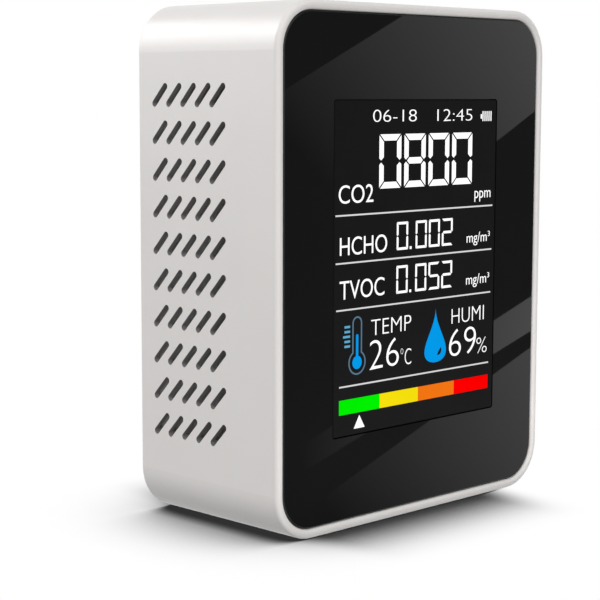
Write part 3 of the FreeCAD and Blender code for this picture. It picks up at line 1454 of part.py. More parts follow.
def make_link():
    """The bent pins that join the two boards, and their carrier on the main board."""
    wide = "link_count * link_pitch"
    carrier_low = f"{LINK_Z} - link_body / 2"
    bar = box("link_bar", f"{LINK_X} - {wide} / 2", BOARD_BACK, carrier_low, wide, "link_body", "link_body")
    front, bottom = f"{BOARD_FRONT} - pin_tail", f"{POWER_BOTTOM} - pin_tail"
    low, bend = f"{LINK_Z} - link_pin / 2", f"({LINK_DEPTH} - link_pin / 2)"
    deep, tall = f"{bend} - ({front}) + link_pin", f"{LINK_Z} - ({bottom})"
    holes, pins = [], []
    for i, x in enumerate(link_places()):
        side = f"{x} - link_pin / 2"
        holes.append(box(f"link_hole_{i}", side, BOARD_BACK, low, "link_pin", "link_body", "link_pin"))
        flat = box(f"link_flat_{i}", side, front, low, "link_pin", deep, "link_pin")
        upright = box(f"link_upright_{i}", side, bend, bottom, "link_pin", "link_pin", tall)
        pins.append(fuse(f"link_pin_{i}", flat, upright))
    keep(cut("link_carrier", bar, *holes))
    group("link_pins", pins)


def make_charger_parts():
    """The charger chip with its leads, and the power inductor."""
    lead_top = number("chip_standoff + small_chip_thick / 2")
    shape = chip_leads(
        number("small_chip_width"),
        count("small_lead_count"),
        number("small_lead_pitch"),
        number("small_lead_width"),
        2,
        lead_top,
    )
    chip_x, chip_depth = f"({POWER_LEFT} + charger_inset)", f"({POWER_FRONT} + charger_depth)"
    keep(
        on_power_board(
            "charger_chip",
            f"{chip_x} - small_chip_width / 2",
            f"{chip_depth} - small_chip_length / 2",
            "small_chip_width",
            "small_chip_length",
            "small_chip_thick",
            "chip_standoff",
        )
    )
    place_feature(solid_feature("charger_chip_leads", shape), chip_x, chip_depth, POWER_TOP, UPWARDS)
    coil = on_power_board(
        "inductor_blank",
        f"{POWER_LEFT} + inductor_inset",
        f"{POWER_FRONT} + inductor_depth",
        "inductor_size",
        "inductor_size",
        "inductor_height",
    )
    keep(round_edges("power_inductor", coil, "inductor_round", lambda e: e.BoundBox.ZLength > SLACK))


def make_charging_socket():
    """The charging socket: a folded metal shell, a plastic base with its tongue, and five contacts."""
    body = new_body("usb_shell")
    outer = front_sketch(body, USB_FRONT)
    shell_outline(outer, "0")
    pad_back(body, outer, "usb_length")
    inner = front_sketch(body, USB_FRONT)
    shell_outline(inner, "usb_wall")
    cut_back(body, inner, "usb_length")
    keep(body)

    middle = f"({POWER_TOP} + usb_height / 2)"
    plastic = new_body("usb_tongue")
    base = front_sketch(plastic, USB_FRONT)
    shell_outline(base, "(usb_wall + usb_fit)")
    pad_back(plastic, base, "usb_base")
    tongue = front_sketch(plastic, f"{USB_FRONT} + usb_base")
    left, right = f"{USB_X} - tongue_width / 2", f"{USB_X} + tongue_width / 2"
    rectangle(tongue, left, middle, right, f"{middle} + tongue_thick")
    pad_back(plastic, tongue, "tongue_length")
    keep(plastic)
    front, low = f"{USB_FRONT} + usb_base", f"{middle} - contact_thick"
    contacts = []
    for i in range(count("contact_count")):
        x = f"{USB_X} + ({i} - (contact_count - 1) / 2) * contact_pitch - contact_width / 2"
        contacts.append(box(f"contact_{i}", x, front, low, "contact_width", "tongue_length", "contact_thick"))
    group("usb_contacts", contacts)


def shell_outline(sketch, inset):
    """The charging socket's outline, whose two lower corners slope."""
    left, right = f"{USB_X} - usb_width / 2 + {inset}", f"{USB_X} + usb_width / 2 - {inset}"
    low, high = f"{POWER_TOP} + {inset}", f"{POWER_TOP} + usb_height - {inset}"
    step = f"(usb_slope - {inset} / 2)"
    polygon(
        sketch,
        (f"{left} + {step}", low),
        (f"{right} - {step}", low),
        (right, f"{low} + {step}"),
        (right, high),
        (left, high),
        (left, f"{low} + {step}"),
    )


def make_switch():
    """The push switch on the power board: body, metal face and plunger."""
    left, plate_front = f"{BUTTON_X} - switch_width / 2", f"({SWITCH_BACK} - switch_plate)"
    bore = "plunger_radius + plunger_gap"
    block_length = "switch_length - switch_plate"
    block = on_power_board("switch_block", left, SWITCH_FRONT, "switch_width", block_length, "switch_height")
    room_front, room_length = f"{plate_front} - plunger_in - plunger_room", "plunger_in + plunger_room"
    room = cylinder("switch_room", BUTTON_X, room_front, BUTTON_Z, bore, room_length)
    keep(cut("switch_body", block, room))
    plate = on_power_board("face_blank", left, plate_front, "switch_width", "switch_plate", "switch_height")
    way = cylinder("switch_way", BUTTON_X, plate_front, BUTTON_Z, bore, "switch_plate")
    keep(cut("switch_face", plate, way))
    plunger_front, plunger_length = f"{plate_front} - plunger_in", "plunger_in + switch_plate + plunger_out"
    keep(cylinder("switch_plunger", BUTTON_X, plunger_front, BUTTON_Z, "plunger_radius", plunger_length))


def make_power_button():
    """The round button in the back cover, with a flange inside and a stem to the switch."""
    body = new_body("power_button")
    for start, radius, length in (
        (PLUNGER_BACK, "button_stem_radius", "button_stem_length"),
        (FLANGE_FRONT, "(button_radius + button_flange)", "button_flange_thick"),
        (COVER_FRONT, "button_radius", "cover_thick - button_inset"),
    ):
        disc = front_sketch(body, start)
        circle(disc, BUTTON_X, BUTTON_Z, radius)
        pad_back(body, disc, length)
    soften(body, "Fillet", edges_at(body.Tip.Shape, "depth - button_inset"), "button_round")
    return keep(body)


# Screws


RECESS_ARMS = (("recess_span", "recess_width"), ("recess_width", "recess_span"))


def cross_recess(name, x, depth_text, z):
    """The two bars that cut a cross into a screw head whose top is at a depth."""
    front = f"{depth_text} - recess_depth"
    return [
        box(f"{name}_bar_{i}", f"{x} - {wide} / 2", front, f"{z} - {tall} / 2", wide, "recess_depth", tall)
        for i, (wide, tall) in enumerate(RECESS_ARMS)
    ]


def make_cover_screws():
    """Four countersunk screws through the back cover."""
    head_top = "(depth - cover_screw_sink)"
    head_height = "(cover_screw_head - cover_screw_radius)"
    head_front, tip = f"{head_top} - {head_height}", f"{head_top} - cover_screw_length"
    shank_length = f"cover_screw_length - {head_height}"
    screws = []
    for i, (x, z) in enumerate(boss_places()):
        name = f"cover_screw_{i}"
        head = cone(f"{name}_head", x, head_front, z, "cover_screw_radius", "cover_screw_head", head_height)
        shank = cylinder(f"{name}_shank", x, tip, z, "cover_screw_radius", shank_length)
        blank = fuse(f"{name}_blank", head, shank)
        screws.append(cut(name, blank, *cross_recess(name, x, head_top, z)))
    return group("cover_screws", screws)


def make_board_screws():
    """Four pan-head screws that hold the main board on its posts."""
    tip, top = f"{BOARD_BACK} - board_screw_length", f"{BOARD_BACK} + board_screw_head_height"
    screws = []
    for i, (x, z) in enumerate(board_hole_places()):
        name = f"board_screw_{i}"
        head = cylinder(
            f"{name}_head", x, BOARD_BACK, z, "board_screw_head_radius", "board_screw_head_height"
        )
        shank = cylinder(f"{name}_shank", x, tip, z, "board_screw_radius", "board_screw_length")
        blank = fuse(f"{name}_blank", head, shank)
        screws.append(cut(name, blank, *cross_recess(name, x, top, z)))
    return group("board_screws", screws)


def upright_cylinder(name, x, depth_text, z, radius, length):
    return cylinder(name, x, depth_text, z, radius, length, UPWARDS)


def make_power_board_screws():
    """Two pan-head screws that hold the power board on its posts, driven from above."""
    tip = f"{POWER_TOP} - power_screw_length"
    low = f"{POWER_TOP} + board_screw_head_height - recess_depth"
    screws = []
    for i, (x, d) in enumerate(POWER_POSTS):
        name = f"power_screw_{i}"
        head = upright_cylinder(
            f"{name}_head", x, d, POWER_TOP, "board_screw_head_radius", "board_screw_head_height"
        )
        shank = upright_cylinder(f"{name}_shank", x, d, tip, "board_screw_radius", "power_screw_length")
        bars = [
            box(f"{name}_bar_{j}", f"{x} - {wide} / 2", f"{d} - {deep} / 2", low, wide, deep, "recess_depth")
            for j, (wide, deep) in enumerate(RECESS_ARMS)
        ]
        screws.append(cut(name, fuse(f"{name}_blank", head, shank), *bars))
    return group("power_board_screws", screws)


# Checks and files


def check(obj):
    """Stops the build if an object failed or its shape isn't sound."""
    if any(word in obj.State for word in ("Invalid", "Error")):
        raise RuntimeError(f"{obj.Label} failed: {obj.State}")
    shape = obj.Shape
    if shape.isNull() or not shape.isValid() or not shape.Solids or shape.Volume <= 0:
        raise RuntimeError(f"{obj.Label} has no sound shape")


def check_cuts():
    """Stops the build if a pocket cut nothing."""
    for obj in doc.Objects:
        if any(word in obj.State for word in ("Invalid", "Error")):
            raise RuntimeError(f"{obj.Label} failed: {obj.State}")
        if obj.TypeId == "PartDesign::Pocket" and obj.BaseFeature.Shape.Volume - obj.Shape.Volume < NEAR:
            raise RuntimeError(f"{obj.Label} cuts nothing")


def write_parts():
    os.makedirs("parts", exist_ok=True)
    for node in NODES:
        check(node)
        node.Shape.exportStep(f"parts/{node.Label}.step")


for make in (
    make_housing,
    make_back_cover,
    make_front_panel,
    make_display_window,
    make_panel_adhesive,
    make_display_gasket,
    make_display_sheets,
    make_backlight_frame,
    make_backlight_lamps,
    make_driver_chip,
    make_display_ribbon,
    make_ribbon_socket,
    make_display_pads,
    make_main_board,
    make_microcontroller,
    make_small_parts,
    make_voc_sensor,
    make_formaldehyde_cell,
    make_co2_sensor,
    make_battery,
    make_battery_leads,
    make_battery_plug,
    make_power_board,
    make_link,
    make_charger_parts,
    make_charging_socket,
    make_switch,
    make_power_button,
    make_cover_screws,
    make_board_screws,
    make_power_board_screws,
):
    make()
doc.recompute()
check_cuts()
write_parts()
print(len(NODES), "sub-parts written")
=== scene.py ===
"""Looks for the air quality monitor: materials, the display's lit figures, and a plain studio."""

import json
import math

import bmesh
import bpy
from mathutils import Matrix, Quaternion, Vector


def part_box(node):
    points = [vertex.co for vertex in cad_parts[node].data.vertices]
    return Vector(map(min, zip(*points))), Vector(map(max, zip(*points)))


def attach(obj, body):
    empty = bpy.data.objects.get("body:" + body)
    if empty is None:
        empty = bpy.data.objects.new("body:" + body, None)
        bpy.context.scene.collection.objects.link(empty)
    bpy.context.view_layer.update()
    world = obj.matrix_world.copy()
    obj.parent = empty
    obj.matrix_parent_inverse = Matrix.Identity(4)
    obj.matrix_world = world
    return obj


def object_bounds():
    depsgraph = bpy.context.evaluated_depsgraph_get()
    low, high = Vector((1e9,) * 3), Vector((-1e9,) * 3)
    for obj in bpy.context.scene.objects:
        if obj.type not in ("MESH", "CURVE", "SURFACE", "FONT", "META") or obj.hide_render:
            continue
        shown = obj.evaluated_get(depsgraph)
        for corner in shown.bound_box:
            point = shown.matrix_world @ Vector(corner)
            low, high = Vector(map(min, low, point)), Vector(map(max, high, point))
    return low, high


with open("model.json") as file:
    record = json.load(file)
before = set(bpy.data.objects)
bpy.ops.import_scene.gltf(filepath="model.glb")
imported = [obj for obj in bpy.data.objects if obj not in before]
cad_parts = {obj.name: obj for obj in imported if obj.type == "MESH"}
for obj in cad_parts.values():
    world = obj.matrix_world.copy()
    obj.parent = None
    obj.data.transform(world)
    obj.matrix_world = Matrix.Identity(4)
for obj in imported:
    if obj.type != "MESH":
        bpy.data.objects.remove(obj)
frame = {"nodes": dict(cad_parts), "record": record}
CAD_LOW, CAD_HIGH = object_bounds()
MM = 0.001

LEFT = CAD_LOW.x
WIDTH = CAD_HIGH.x - CAD_LOW.x
HEIGHT = CAD_HIGH.z
WINDOW_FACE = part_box("display_window")[0].y
PANEL_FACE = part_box("front_panel")[0].y


# Materials


def srgb(red, green, blue):
    """The linear colour that shaders use, from the colour as a screen shows it, from 0 to 255."""
    def linear(value):
        value /= 255
        return value / 12.92 if value <= 0.04045 else ((value + 0.055) / 1.055) ** 2.4

    return linear(red), linear(green), linear(blue)


def shade(colour, factor=1.0):
    """A colour made lighter or darker, with the fourth number that a colour socket takes."""
    return tuple(min(1.0, c * factor) for c in colour[:3]) + (1.0,)


def feed(tree, socket, value):
    """Gives an input a plain value, or links it to the output of another node."""
    if isinstance(value, bpy.types.NodeSocket):
        tree.links.new(value, socket)
    else:
        socket.default_value = value


def add_node(tree, kind, **values):
    """A shader node. Each value goes to the input of its name or, without one, to the setting."""
    node = tree.nodes.new(kind)
    for name, value in values.items():
        if name in node.inputs:
            feed(tree, node.inputs[name], value)
        else:
            setattr(node, name, value)
    return node


def map_range(tree, value, low, high, start, end, interpolation="LINEAR"):
    """The value, from start to end, spread over low to high."""
    made = add_node(tree, "ShaderNodeMapRange", interpolation_type=interpolation, Value=value)
    for name, bound in {"From Min": start, "From Max": end, "To Min": low, "To Max": high}.items():
        feed(tree, made.inputs[name], bound)
    return made.outputs["Result"]


EVEN = (1, 1, 1)
NOISE_DETAIL = 3.0


class Surface:
    """A principled material with its unevenness from patterns in the part's own space."""

    def __init__(self, name, colour, roughness, metallic=0.0):
        self.material = bpy.data.materials.new(name)
        self.material.use_nodes = True
        self.tree = self.material.node_tree
        self.shader = self.tree.nodes["Principled BSDF"]
        self.colour = colour
        self.place = self.node("ShaderNodeTexCoord").outputs["Object"]
        self.set("Metallic", metallic).set("Roughness", roughness).set("Base Color", shade(colour))

    def set(self, socket, value):
        feed(self.tree, self.shader.inputs[socket], value)
        return self

    def node(self, kind, **values):
        return add_node(self.tree, kind, **values)

    def noise(self, size, stretch=EVEN):
        """Noise whose grains are about size metres wide, drawn out along any axis by stretch."""
        mapping = self.node("ShaderNodeMapping", Vector=self.place, Scale=[1 / s for s in stretch])
        vector = mapping.outputs["Vector"]
        noise = self.node("ShaderNodeTexNoise", Vector=vector, Scale=1 / size, Detail=NOISE_DETAIL)
        return noise.outputs["Fac"]

    def spread(self, value, low, high, start=0.3, end=0.7):
        """The value, from start to end, spread over low to high."""
        return map_range(self.tree, value, low, high, start, end)

    def blend(self, value, first, second):
        """Mixes two colours by a value."""
        mix = self.node("ShaderNodeMix", data_type="RGBA", Factor=value)
        sockets = [socket for socket in mix.inputs if socket.type == "RGBA"]
        for socket, colour in zip(sockets, (first, second)):
            socket.default_value = shade(colour)
        return next(socket for socket in mix.outputs if socket.type == "RGBA")

    def mottle(self, size, amount, stretch=EVEN):
        """Uneven colour in patches of a size."""
        value = self.spread(self.noise(size, stretch), 0, 1)
        darker, lighter = shade(self.colour, 1 - amount), shade(self.colour, 1 + amount)
        return self.set("Base Color", self.blend(value, darker, lighter))

    def wear(self, size, low, high, stretch=EVEN):
        """Uneven roughness between two values."""
        return self.set("Roughness", self.spread(self.noise(size, stretch), low, high))

    def painted_crevice_shade(self, distance, darkest):
        """Darkens the colour where the surface is closed in: painted shade, standing in for lost
        light.
        """
        nearness = self.node("ShaderNodeAmbientOcclusion", samples=8, only_local=True)
        nearness.inputs["Distance"].default_value = distance
        level = self.spread(nearness.outputs["AO"], darkest, 1.0, 0.6, 0.98)
        scaled = self.node("ShaderNodeVectorMath", operation="SCALE", Scale=level)
        feed(self.tree, scaled.inputs[0], self.shader.inputs["Base Color"].links[0].from_socket)
        return self.set("Base Color", scaled.outputs[0])

    def relief(self, height, depth):
        """Small relief of a depth in metres, from a height between 0 and 1."""
        bump = self.node("ShaderNodeBump", Height=height, Distance=depth)
        return self.set("Normal", bump.outputs["Normal"])

    def waves(self, pitch, axis="X"):
        """Even stripes across an axis, rising and falling between 0 and 1."""
        scale = math.pi / (10 * pitch)
        wave = self.node("ShaderNodeTexWave", Vector=self.place, Scale=scale, bands_direction=axis)
        return wave.outputs["Fac"]

    def stripes(self, pitch, axis):
        """Stripes across an axis with narrow edges between them."""
        return self.spread(self.waves(pitch, axis), 0, 1, 0.4, 0.6)


def moulded(name, colour, roughness, grain=0.25 * MM, depth=0.012 * MM):
    """Moulded plastic with a fine eroded grain."""
    made = Surface(name, colour, roughness).set("IOR", 1.5)
    made.mottle(12 * MM, 0.008).wear(8 * MM, roughness - 0.02, roughness + 0.02)
    return made.relief(made.noise(grain), depth).material


def metal(name, colour, roughness, stretch=EVEN):
    """Bare or plated metal, brushed along the stretched axis."""
    grain = 0.4 * MM
    made = Surface(name, colour, roughness, metallic=1.0)
    made.mottle(2 * MM, 0.08, stretch).wear(grain, roughness * 0.7, roughness * 1.4, stretch)
    return made.relief(made.noise(grain, stretch), 0.004 * MM).material


def solder_mask(name, colour):
    """A circuit board: lacquer over thin copper tracks that run in cells."""
    cell = 2.6 * MM
    made = Surface(name, colour, 0.3)
    cells = made.node("ShaderNodeTexVoronoi", feature="DISTANCE_TO_EDGE", distance="MANHATTAN",
                      Vector=made.place, Scale=1 / cell)
    tracks = made.spread(cells.outputs["Distance"], 1, 0, 0.06, 0.10)
    made.set("Base Color", made.blend(tracks, colour, shade(colour, 1.9))).wear(4 * MM, 0.25, 0.38)
    return made.relief(tracks, 0.02 * MM).material


def cloth_like(name, colour, size, depth):
    """Open foam or a porous skin."""
    made = Surface(name, colour, 0.85)
    cells = made.node("ShaderNodeTexVoronoi", Vector=made.place, Scale=1 / size)
    made.mottle(size * 4, 0.12)
    return made.relief(cells.outputs["Distance"], depth).material


def film(name, colour, roughness, pitch=None):
    """Thin plastic sheet, plain or with fine ridges."""
    made = Surface(name, colour, roughness).set("IOR", 1.49)
    made.mottle(12 * MM, 0.04).wear(6 * MM, roughness * 0.8, roughness * 1.25)
    height = made.waves(pitch) if pitch else made.noise(5 * MM)
    return made.relief(height, 0.01 * MM).material


def striped(name, first, second, pitch, axis, roughness):
    """Two colours in even stripes, such as a ribbon's tracks."""
    made = Surface(name, first, roughness)
    stripes = made.stripes(pitch, axis)
    made.set("Base Color", made.blend(stripes, first, second))
    made.wear(2 * MM, roughness * 0.8, roughness * 1.2)
    return made.relief(stripes, 0.01 * MM).material


def woven_mesh():
    """Fine steel mesh: two sets of wires that cross, with painted shade in the openings between
    them.
    """
    pitch = 0.35 * MM
    made = Surface("mesh", srgb(150, 150, 148), 0.35, metallic=1.0)
    product = made.node("ShaderNodeMath", operation="MULTIPLY")
    for socket, axis in zip(product.inputs, "XZ"):
        feed(made.tree, socket, made.waves(pitch, axis))
    holes = made.spread(product.outputs[0], 0, 1, 0.25, 0.5)
    # Painted shade: the sunken openings are coloured near black.
    made.set("Base Color", made.blend(holes, srgb(165, 165, 162), srgb(25, 25, 25)))
    made.wear(1 * MM, 0.3, 0.45)
    return made.relief(product.outputs[0], -0.06 * MM).material


def glossy_panel():
    """Piano black acrylic: almost a mirror, with the faintest waviness."""
    made = Surface("piano_black", (0.0055, 0.0055, 0.0057), 0.012).set("IOR", 1.49)
    made.mottle(15 * MM, 0.05).wear(10 * MM, 0.008, 0.016)
    return made.relief(made.noise(30 * MM), 0.001 * MM).material


def dull_window():
    """The anti-glare window over the dark picture area."""
    made = Surface("dull_window", (0.0075, 0.0075, 0.0077), 0.75).set("Specular IOR Level", 0.04)
    made.mottle(14 * MM, 0.06).wear(5 * MM, 0.7, 0.8)
    return made.relief(made.noise(0.15 * MM), 0.004 * MM).material


def clear_glass():
    """The display's glass sheets."""
    made = Surface("sheet_glass", srgb(205, 222, 214), 0.04)
    made.set("IOR", 1.52).set("Transmission Weight", 0.85)
    made.mottle(20 * MM, 0.02).wear(9 * MM, 0.03, 0.06)
    return made.relief(made.noise(25 * MM), 0.003 * MM).material


def light_guide_acrylic():
    """Clear acrylic with the white dots that let its light out."""
    pitch = 1.2 * MM
    made = Surface("light_guide", srgb(214, 222, 226), 0.12)
    made.set("IOR", 1.49).set("Transmission Weight", 0.6)
    dots = made.node("ShaderNodeTexVoronoi", Vector=made.place, Scale=1 / pitch, Randomness=0.0)
    white = made.spread(dots.outputs["Distance"], 1, 0, 0.2, 0.3)
    made.set("Base Color", made.blend(white, srgb(205, 215, 220), srgb(246, 246, 244)))
    made.wear(3 * MM, 0.1, 0.16)
    return made.relief(white, 0.02 * MM).material


def foil_pouch():
    """The battery's laminated foil, with shallow creases."""
    made = Surface("foil_pouch", srgb(190, 192, 196), 0.38, metallic=0.85)
    made.mottle(7 * MM, 0.06).wear(5 * MM, 0.3, 0.48)
    return made.relief(made.noise(9 * MM, (1, 1, 2.5)), 0.25 * MM).material


def case_plastic(name, colour):
    """The case's satin plastic, with painted shade darkening it down in its gaps."""
    made = Surface(name, colour, 0.3).set("IOR", 1.5)
    # Painted shade: the ambient occlusion node darkens the colour in the gaps and slots.
    made.mottle(12 * MM, 0.008).wear(8 * MM, 0.28, 0.32).painted_crevice_shade(6 * MM, 0.28)
    return made.relief(made.noise(0.22 * MM), 0.003 * MM).material


CAP_PITCH = 2.6 * MM
TINNED = srgb(198, 199, 200)
MATERIALS = {
    "case_plastic": case_plastic("case_plastic", srgb(212, 209, 207)),
    "button_plastic": case_plastic("button_plastic", srgb(198, 195, 193)),
    "panel_black": glossy_panel(),
    "window_black": dull_window(),
    "adhesive": film("tape", srgb(30, 30, 31), 0.6),
    "foam_black": cloth_like("foam", srgb(38, 38, 39), 0.3 * MM, 0.08 * MM),
    "polariser": film("polariser", srgb(58, 60, 62), 0.12),
    "lcd_glass": clear_glass(),
    "optical_film": film("ridged_film", srgb(225, 227, 230), 0.3, pitch=0.1 * MM),
    "light_guide": light_guide_acrylic(),
    "reflector": film("reflector", srgb(236, 237, 239), 0.35),
    "frame_white": moulded("white_frame", srgb(226, 226, 223), 0.4),
    "lamp": moulded("lamp_phosphor", srgb(232, 214, 120), 0.35, grain=0.1 * MM),
    "chip_black": moulded("chip_epoxy", srgb(36, 36, 38), 0.5, grain=0.08 * MM, depth=0.01 * MM),
    "ribbon_amber": striped("ribbon", srgb(176, 112, 38), srgb(196, 138, 60), 0.5 * MM, "X", 0.3),
    "socket_ivory": moulded("nylon_ivory", srgb(221, 214, 196), 0.5),
    "latch_brown": moulded("latch", srgb(72, 56, 46), 0.45),
    "board_green": solder_mask("board_green", srgb(24, 92, 52)),
    "sensor_board_blue": solder_mask("board_blue", srgb(22, 56, 118)),
    "tinned_metal": metal("tin", srgb(196, 197, 198), 0.32),
    "crystal_can": metal("crystal_can", srgb(200, 199, 196), 0.25, (6, 1, 1)),
    "ceramic": striped("ceramic", srgb(168, 136, 102), TINNED, CAP_PITCH, "X", 0.45),
    "resistor_black": striped("resistor", srgb(30, 30, 32), TINNED, CAP_PITCH, "X", 0.4),
    "climate_white": moulded("climate_white", srgb(222, 222, 218), 0.4),
    "can_nickel": metal("nickel_can", srgb(206, 203, 197), 0.22, (1, 8, 1)),
    "mesh_steel": woven_mesh(),
    "cell_white": moulded("cell_white", srgb(218, 218, 214), 0.5),
    "gilt": metal("gilt", srgb(214, 172, 92), 0.25),
    "filter_white": cloth_like("filter_skin", srgb(228, 228, 226), 0.12 * MM, 0.03 * MM),
    "pouch_silver": foil_pouch(),
    "guard_tape": film("amber_tape", srgb(196, 148, 52), 0.25),
    "wire_red": moulded("wire_red", srgb(176, 22, 26), 0.4),
    "wire_black": moulded("wire_black", srgb(26, 26, 27), 0.4),
    "carrier_black": moulded("nylon_black", srgb(32, 32, 33), 0.45),
    "inductor_grey": moulded("ferrite", srgb(92, 92, 94), 0.55, grain=0.15 * MM, depth=0.03 * MM),
    "shell_steel": metal("stamped_steel", srgb(196, 197, 199), 0.26, (1, 6, 1)),
    "plunger_black": moulded("plunger", srgb(44, 44, 45), 0.4),
    "screw_steel": metal("screw_steel", srgb(120, 120, 123), 0.34),
}


def dress_nodes():
    """Gives each CAD node the material of its slot."""
    for part in frame["record"]["subparts"]:
        mesh = frame["nodes"][part["node"]].data
        mesh.materials.clear()
        mesh.materials.append(MATERIALS[part["material_slot"]])


# Lit figures of the display. Seen from the front, their places are in millimetres from the case's
# left and top.

FIGURE_THICKNESS = 0.03 * MM
MERGE_DISTANCE = 1e-7


def glow(name, colour, strength=1.0):
    """A lit colour of the display, very slightly uneven as a backlight is."""
    made = Surface(name, (0, 0, 0), 0.6).set("Specular IOR Level", 0.0)
    made.set("Emission Strength", strength)
    light = made.blend(made.spread(made.noise(9 * MM), 0, 1), shade(colour, 0.96), colour)
    return made.set("Emission Color", light).material


LIT = {
    "white": glow("lit_white", (1.0, 1.0, 1.0), 1.15),
    "line": glow("lit_line", srgb(222, 222, 222)),
    "blue": glow("lit_blue", srgb(4, 155, 236)),
    "pale_blue": glow("lit_pale_blue", srgb(96, 170, 205)),
    "outline_blue": glow("lit_outline_blue", srgb(92, 120, 140)),
    "green": glow("lit_green", srgb(0, 243, 0)),
    "yellow": glow("lit_yellow", srgb(248, 226, 14)),
    "orange": glow("lit_orange", srgb(244, 118, 20)),
    "red": glow("lit_red", srgb(254, 0, 0)),
    "dark": MATERIALS["window_black"],
}


def place(across, down):
    """X and Z of a place on the display."""
    return LEFT + across * MM, HEIGHT - down * MM


def add_prism(mesh, outline):
    """A thin upright slab with an outline, standing on the window's face."""
    rings = []
    for y in (WINDOW_FACE - FIGURE_THICKNESS, WINDOW_FACE):
        rings.append([mesh.verts.new((x, y, z)) for x, z in (place(*p) for p in outline)])
    front, back = rings
    mesh.faces.new(front)
    mesh.faces.new(reversed(back))
    for i in range(len(outline)):
        mesh.faces.new((front[i - 1], back[i - 1], back[i], front[i]))


def add_band(mesh, outer, inner):
    """A closed band between two outlines with as many points."""
    for i in range(len(outer)):
        add_prism(mesh, [outer[i - 1], outer[i], inner[i], inner[i - 1]])


def figure(name, mesh, colour):
    """Turns a bmesh into a lit piece of the display and frees it."""
    bmesh.ops.remove_doubles(mesh, verts=mesh.verts, dist=MERGE_DISTANCE)
    bmesh.ops.recalc_face_normals(mesh, faces=mesh.faces)
    data = bpy.data.meshes.new(name)
    mesh.to_mesh(data)
    mesh.free()
    data.materials.append(LIT[colour])
    piece = bpy.data.objects.new(name, data)
    bpy.context.scene.collection.objects.link(piece)
    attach(piece, "case")


def shapes(name, colour, outlines):
    """One lit piece made of several outlines."""
    mesh = bmesh.new()
    for outline in outlines:
        add_prism(mesh, outline)
    figure(name, mesh, colour)


def bar(left, top, right, bottom):
    """The outline of an upright rectangle."""
    return [(left, top), (right, top), (right, bottom), (left, bottom)]


def arc(centre, radius, start, end, steps):
    """Points along an arc; angles are degrees from the right, turning downwards."""
    for i in range(steps + 1):
        angle = math.radians(start + (end - start) * i / steps)
        yield centre[0] + radius * math.cos(angle), centre[1] + radius * math.sin(angle)


SEGMENTS = {"0": "abcdef", "2": "abged", "5": "afgcd", "8": "abcdefg"}


def segment_outlines(left, top, width, height, stroke, gap):
    """The seven bevelled bars of one digit, by letter."""
    middle, half, tip = height / 2, stroke / 2, stroke * 0.4
    inner, far = stroke + gap, width - stroke - gap
    side = [(0, gap), (stroke, inner), (stroke, middle - half - gap), (tip, middle - gap),
            (0, middle - half)]
    high = [(gap, 0), (width - gap, 0), (far, stroke), (inner, stroke)]
    low = [(x, height - y) for x, y in side]
    bars = {
        "a": high,
        "d": [(x, height - y) for x, y in high],
        "f": side,
        "e": low,
        "b": [(width - x, y) for x, y in side],
        "c": [(width - x, y) for x, y in low],
        "g": [(half + gap, middle), (inner, middle - half), (far, middle - half),
              (width - half - gap, middle), (far, middle + half), (inner, middle + half)],
    }
    return {letter: [(left + x, top + y) for x, y in points] for letter, points in bars.items()}


def number(name, digits, left, top, width, height, stroke, gap, pitch, point_room=0.0):
    """A number of seven-bar digits; a point takes its own room."""
    bottom, point = top + height, 1.1 * stroke
    outlines = []
    for digit in digits:
        if digit == ".":
            middle = left - (pitch - width) + point_room / 2
            outlines.append(bar(middle - point / 2, bottom - point, middle + point / 2, bottom))
            left += point_room
            continue
        bars = segment_outlines(left, top, width, height, stroke, gap)
        outlines += [bars[letter] for letter in SEGMENTS[digit]]
        left += pitch
    shapes(name, "white", outlines)


# How far the edges of a label's strokes are let out, at a font size of 1. Below 0 they are thinned.
PLAIN, LIGHT = -0.004, -0.018
CURVE_STEPS = 6


def label(name, text, weight, left, top, right, bottom):
    """Plain lettering stretched to fill a box; its weight thickens or thins the strokes."""
    curve = bpy.data.curves.new(name, "FONT")
    curve.body = text
    curve.extrude = 0.5
    curve.offset = weight
    curve.resolution_u = CURVE_STEPS
    source = bpy.data.objects.new(f"{name}_source", curve)
    bpy.context.scene.collection.objects.link(source)
    bpy.context.view_layer.update()
    evaluated = source.evaluated_get(bpy.context.evaluated_depsgraph_get())
    data = bpy.data.meshes.new_from_object(evaluated)
    bpy.data.objects.remove(source)
    xs, ys = [v.co.x for v in data.vertices], [v.co.y for v in data.vertices]
    x0, z1 = place(left, top)
    x1, z0 = place(right, bottom)
    for vertex in data.vertices:
        across = (vertex.co.x - min(xs)) / (max(xs) - min(xs))
        up = (vertex.co.y - min(ys)) / (max(ys) - min(ys))
        back = WINDOW_FACE if vertex.co.z < 0 else WINDOW_FACE - FIGURE_THICKNESS
        vertex.co = (x0 + across * (x1 - x0), back, z0 + up * (z1 - z0))
    mesh = bmesh.new()
    mesh.from_mesh(data)
    bpy.data.meshes.remove(data)
    figure(name, mesh, "white")


def make_numbers():
    """The big reading and the two small ones."""
    big = dict(width=5.6, height=9.3, stroke=1.1, gap=0.2, pitch=6.42)
    number("carbon_dioxide_digits", "0800", 24.65, 22.2, **big)
    small = dict(width=2.95, height=4.9, stroke=0.44, gap=0.06, pitch=3.55, point_room=1.43)
    number("formaldehyde_digits", "0.002", 29.3, 37.5, **small)
    number("compound_digits", "0.052", 29.3, 45.15, **small)


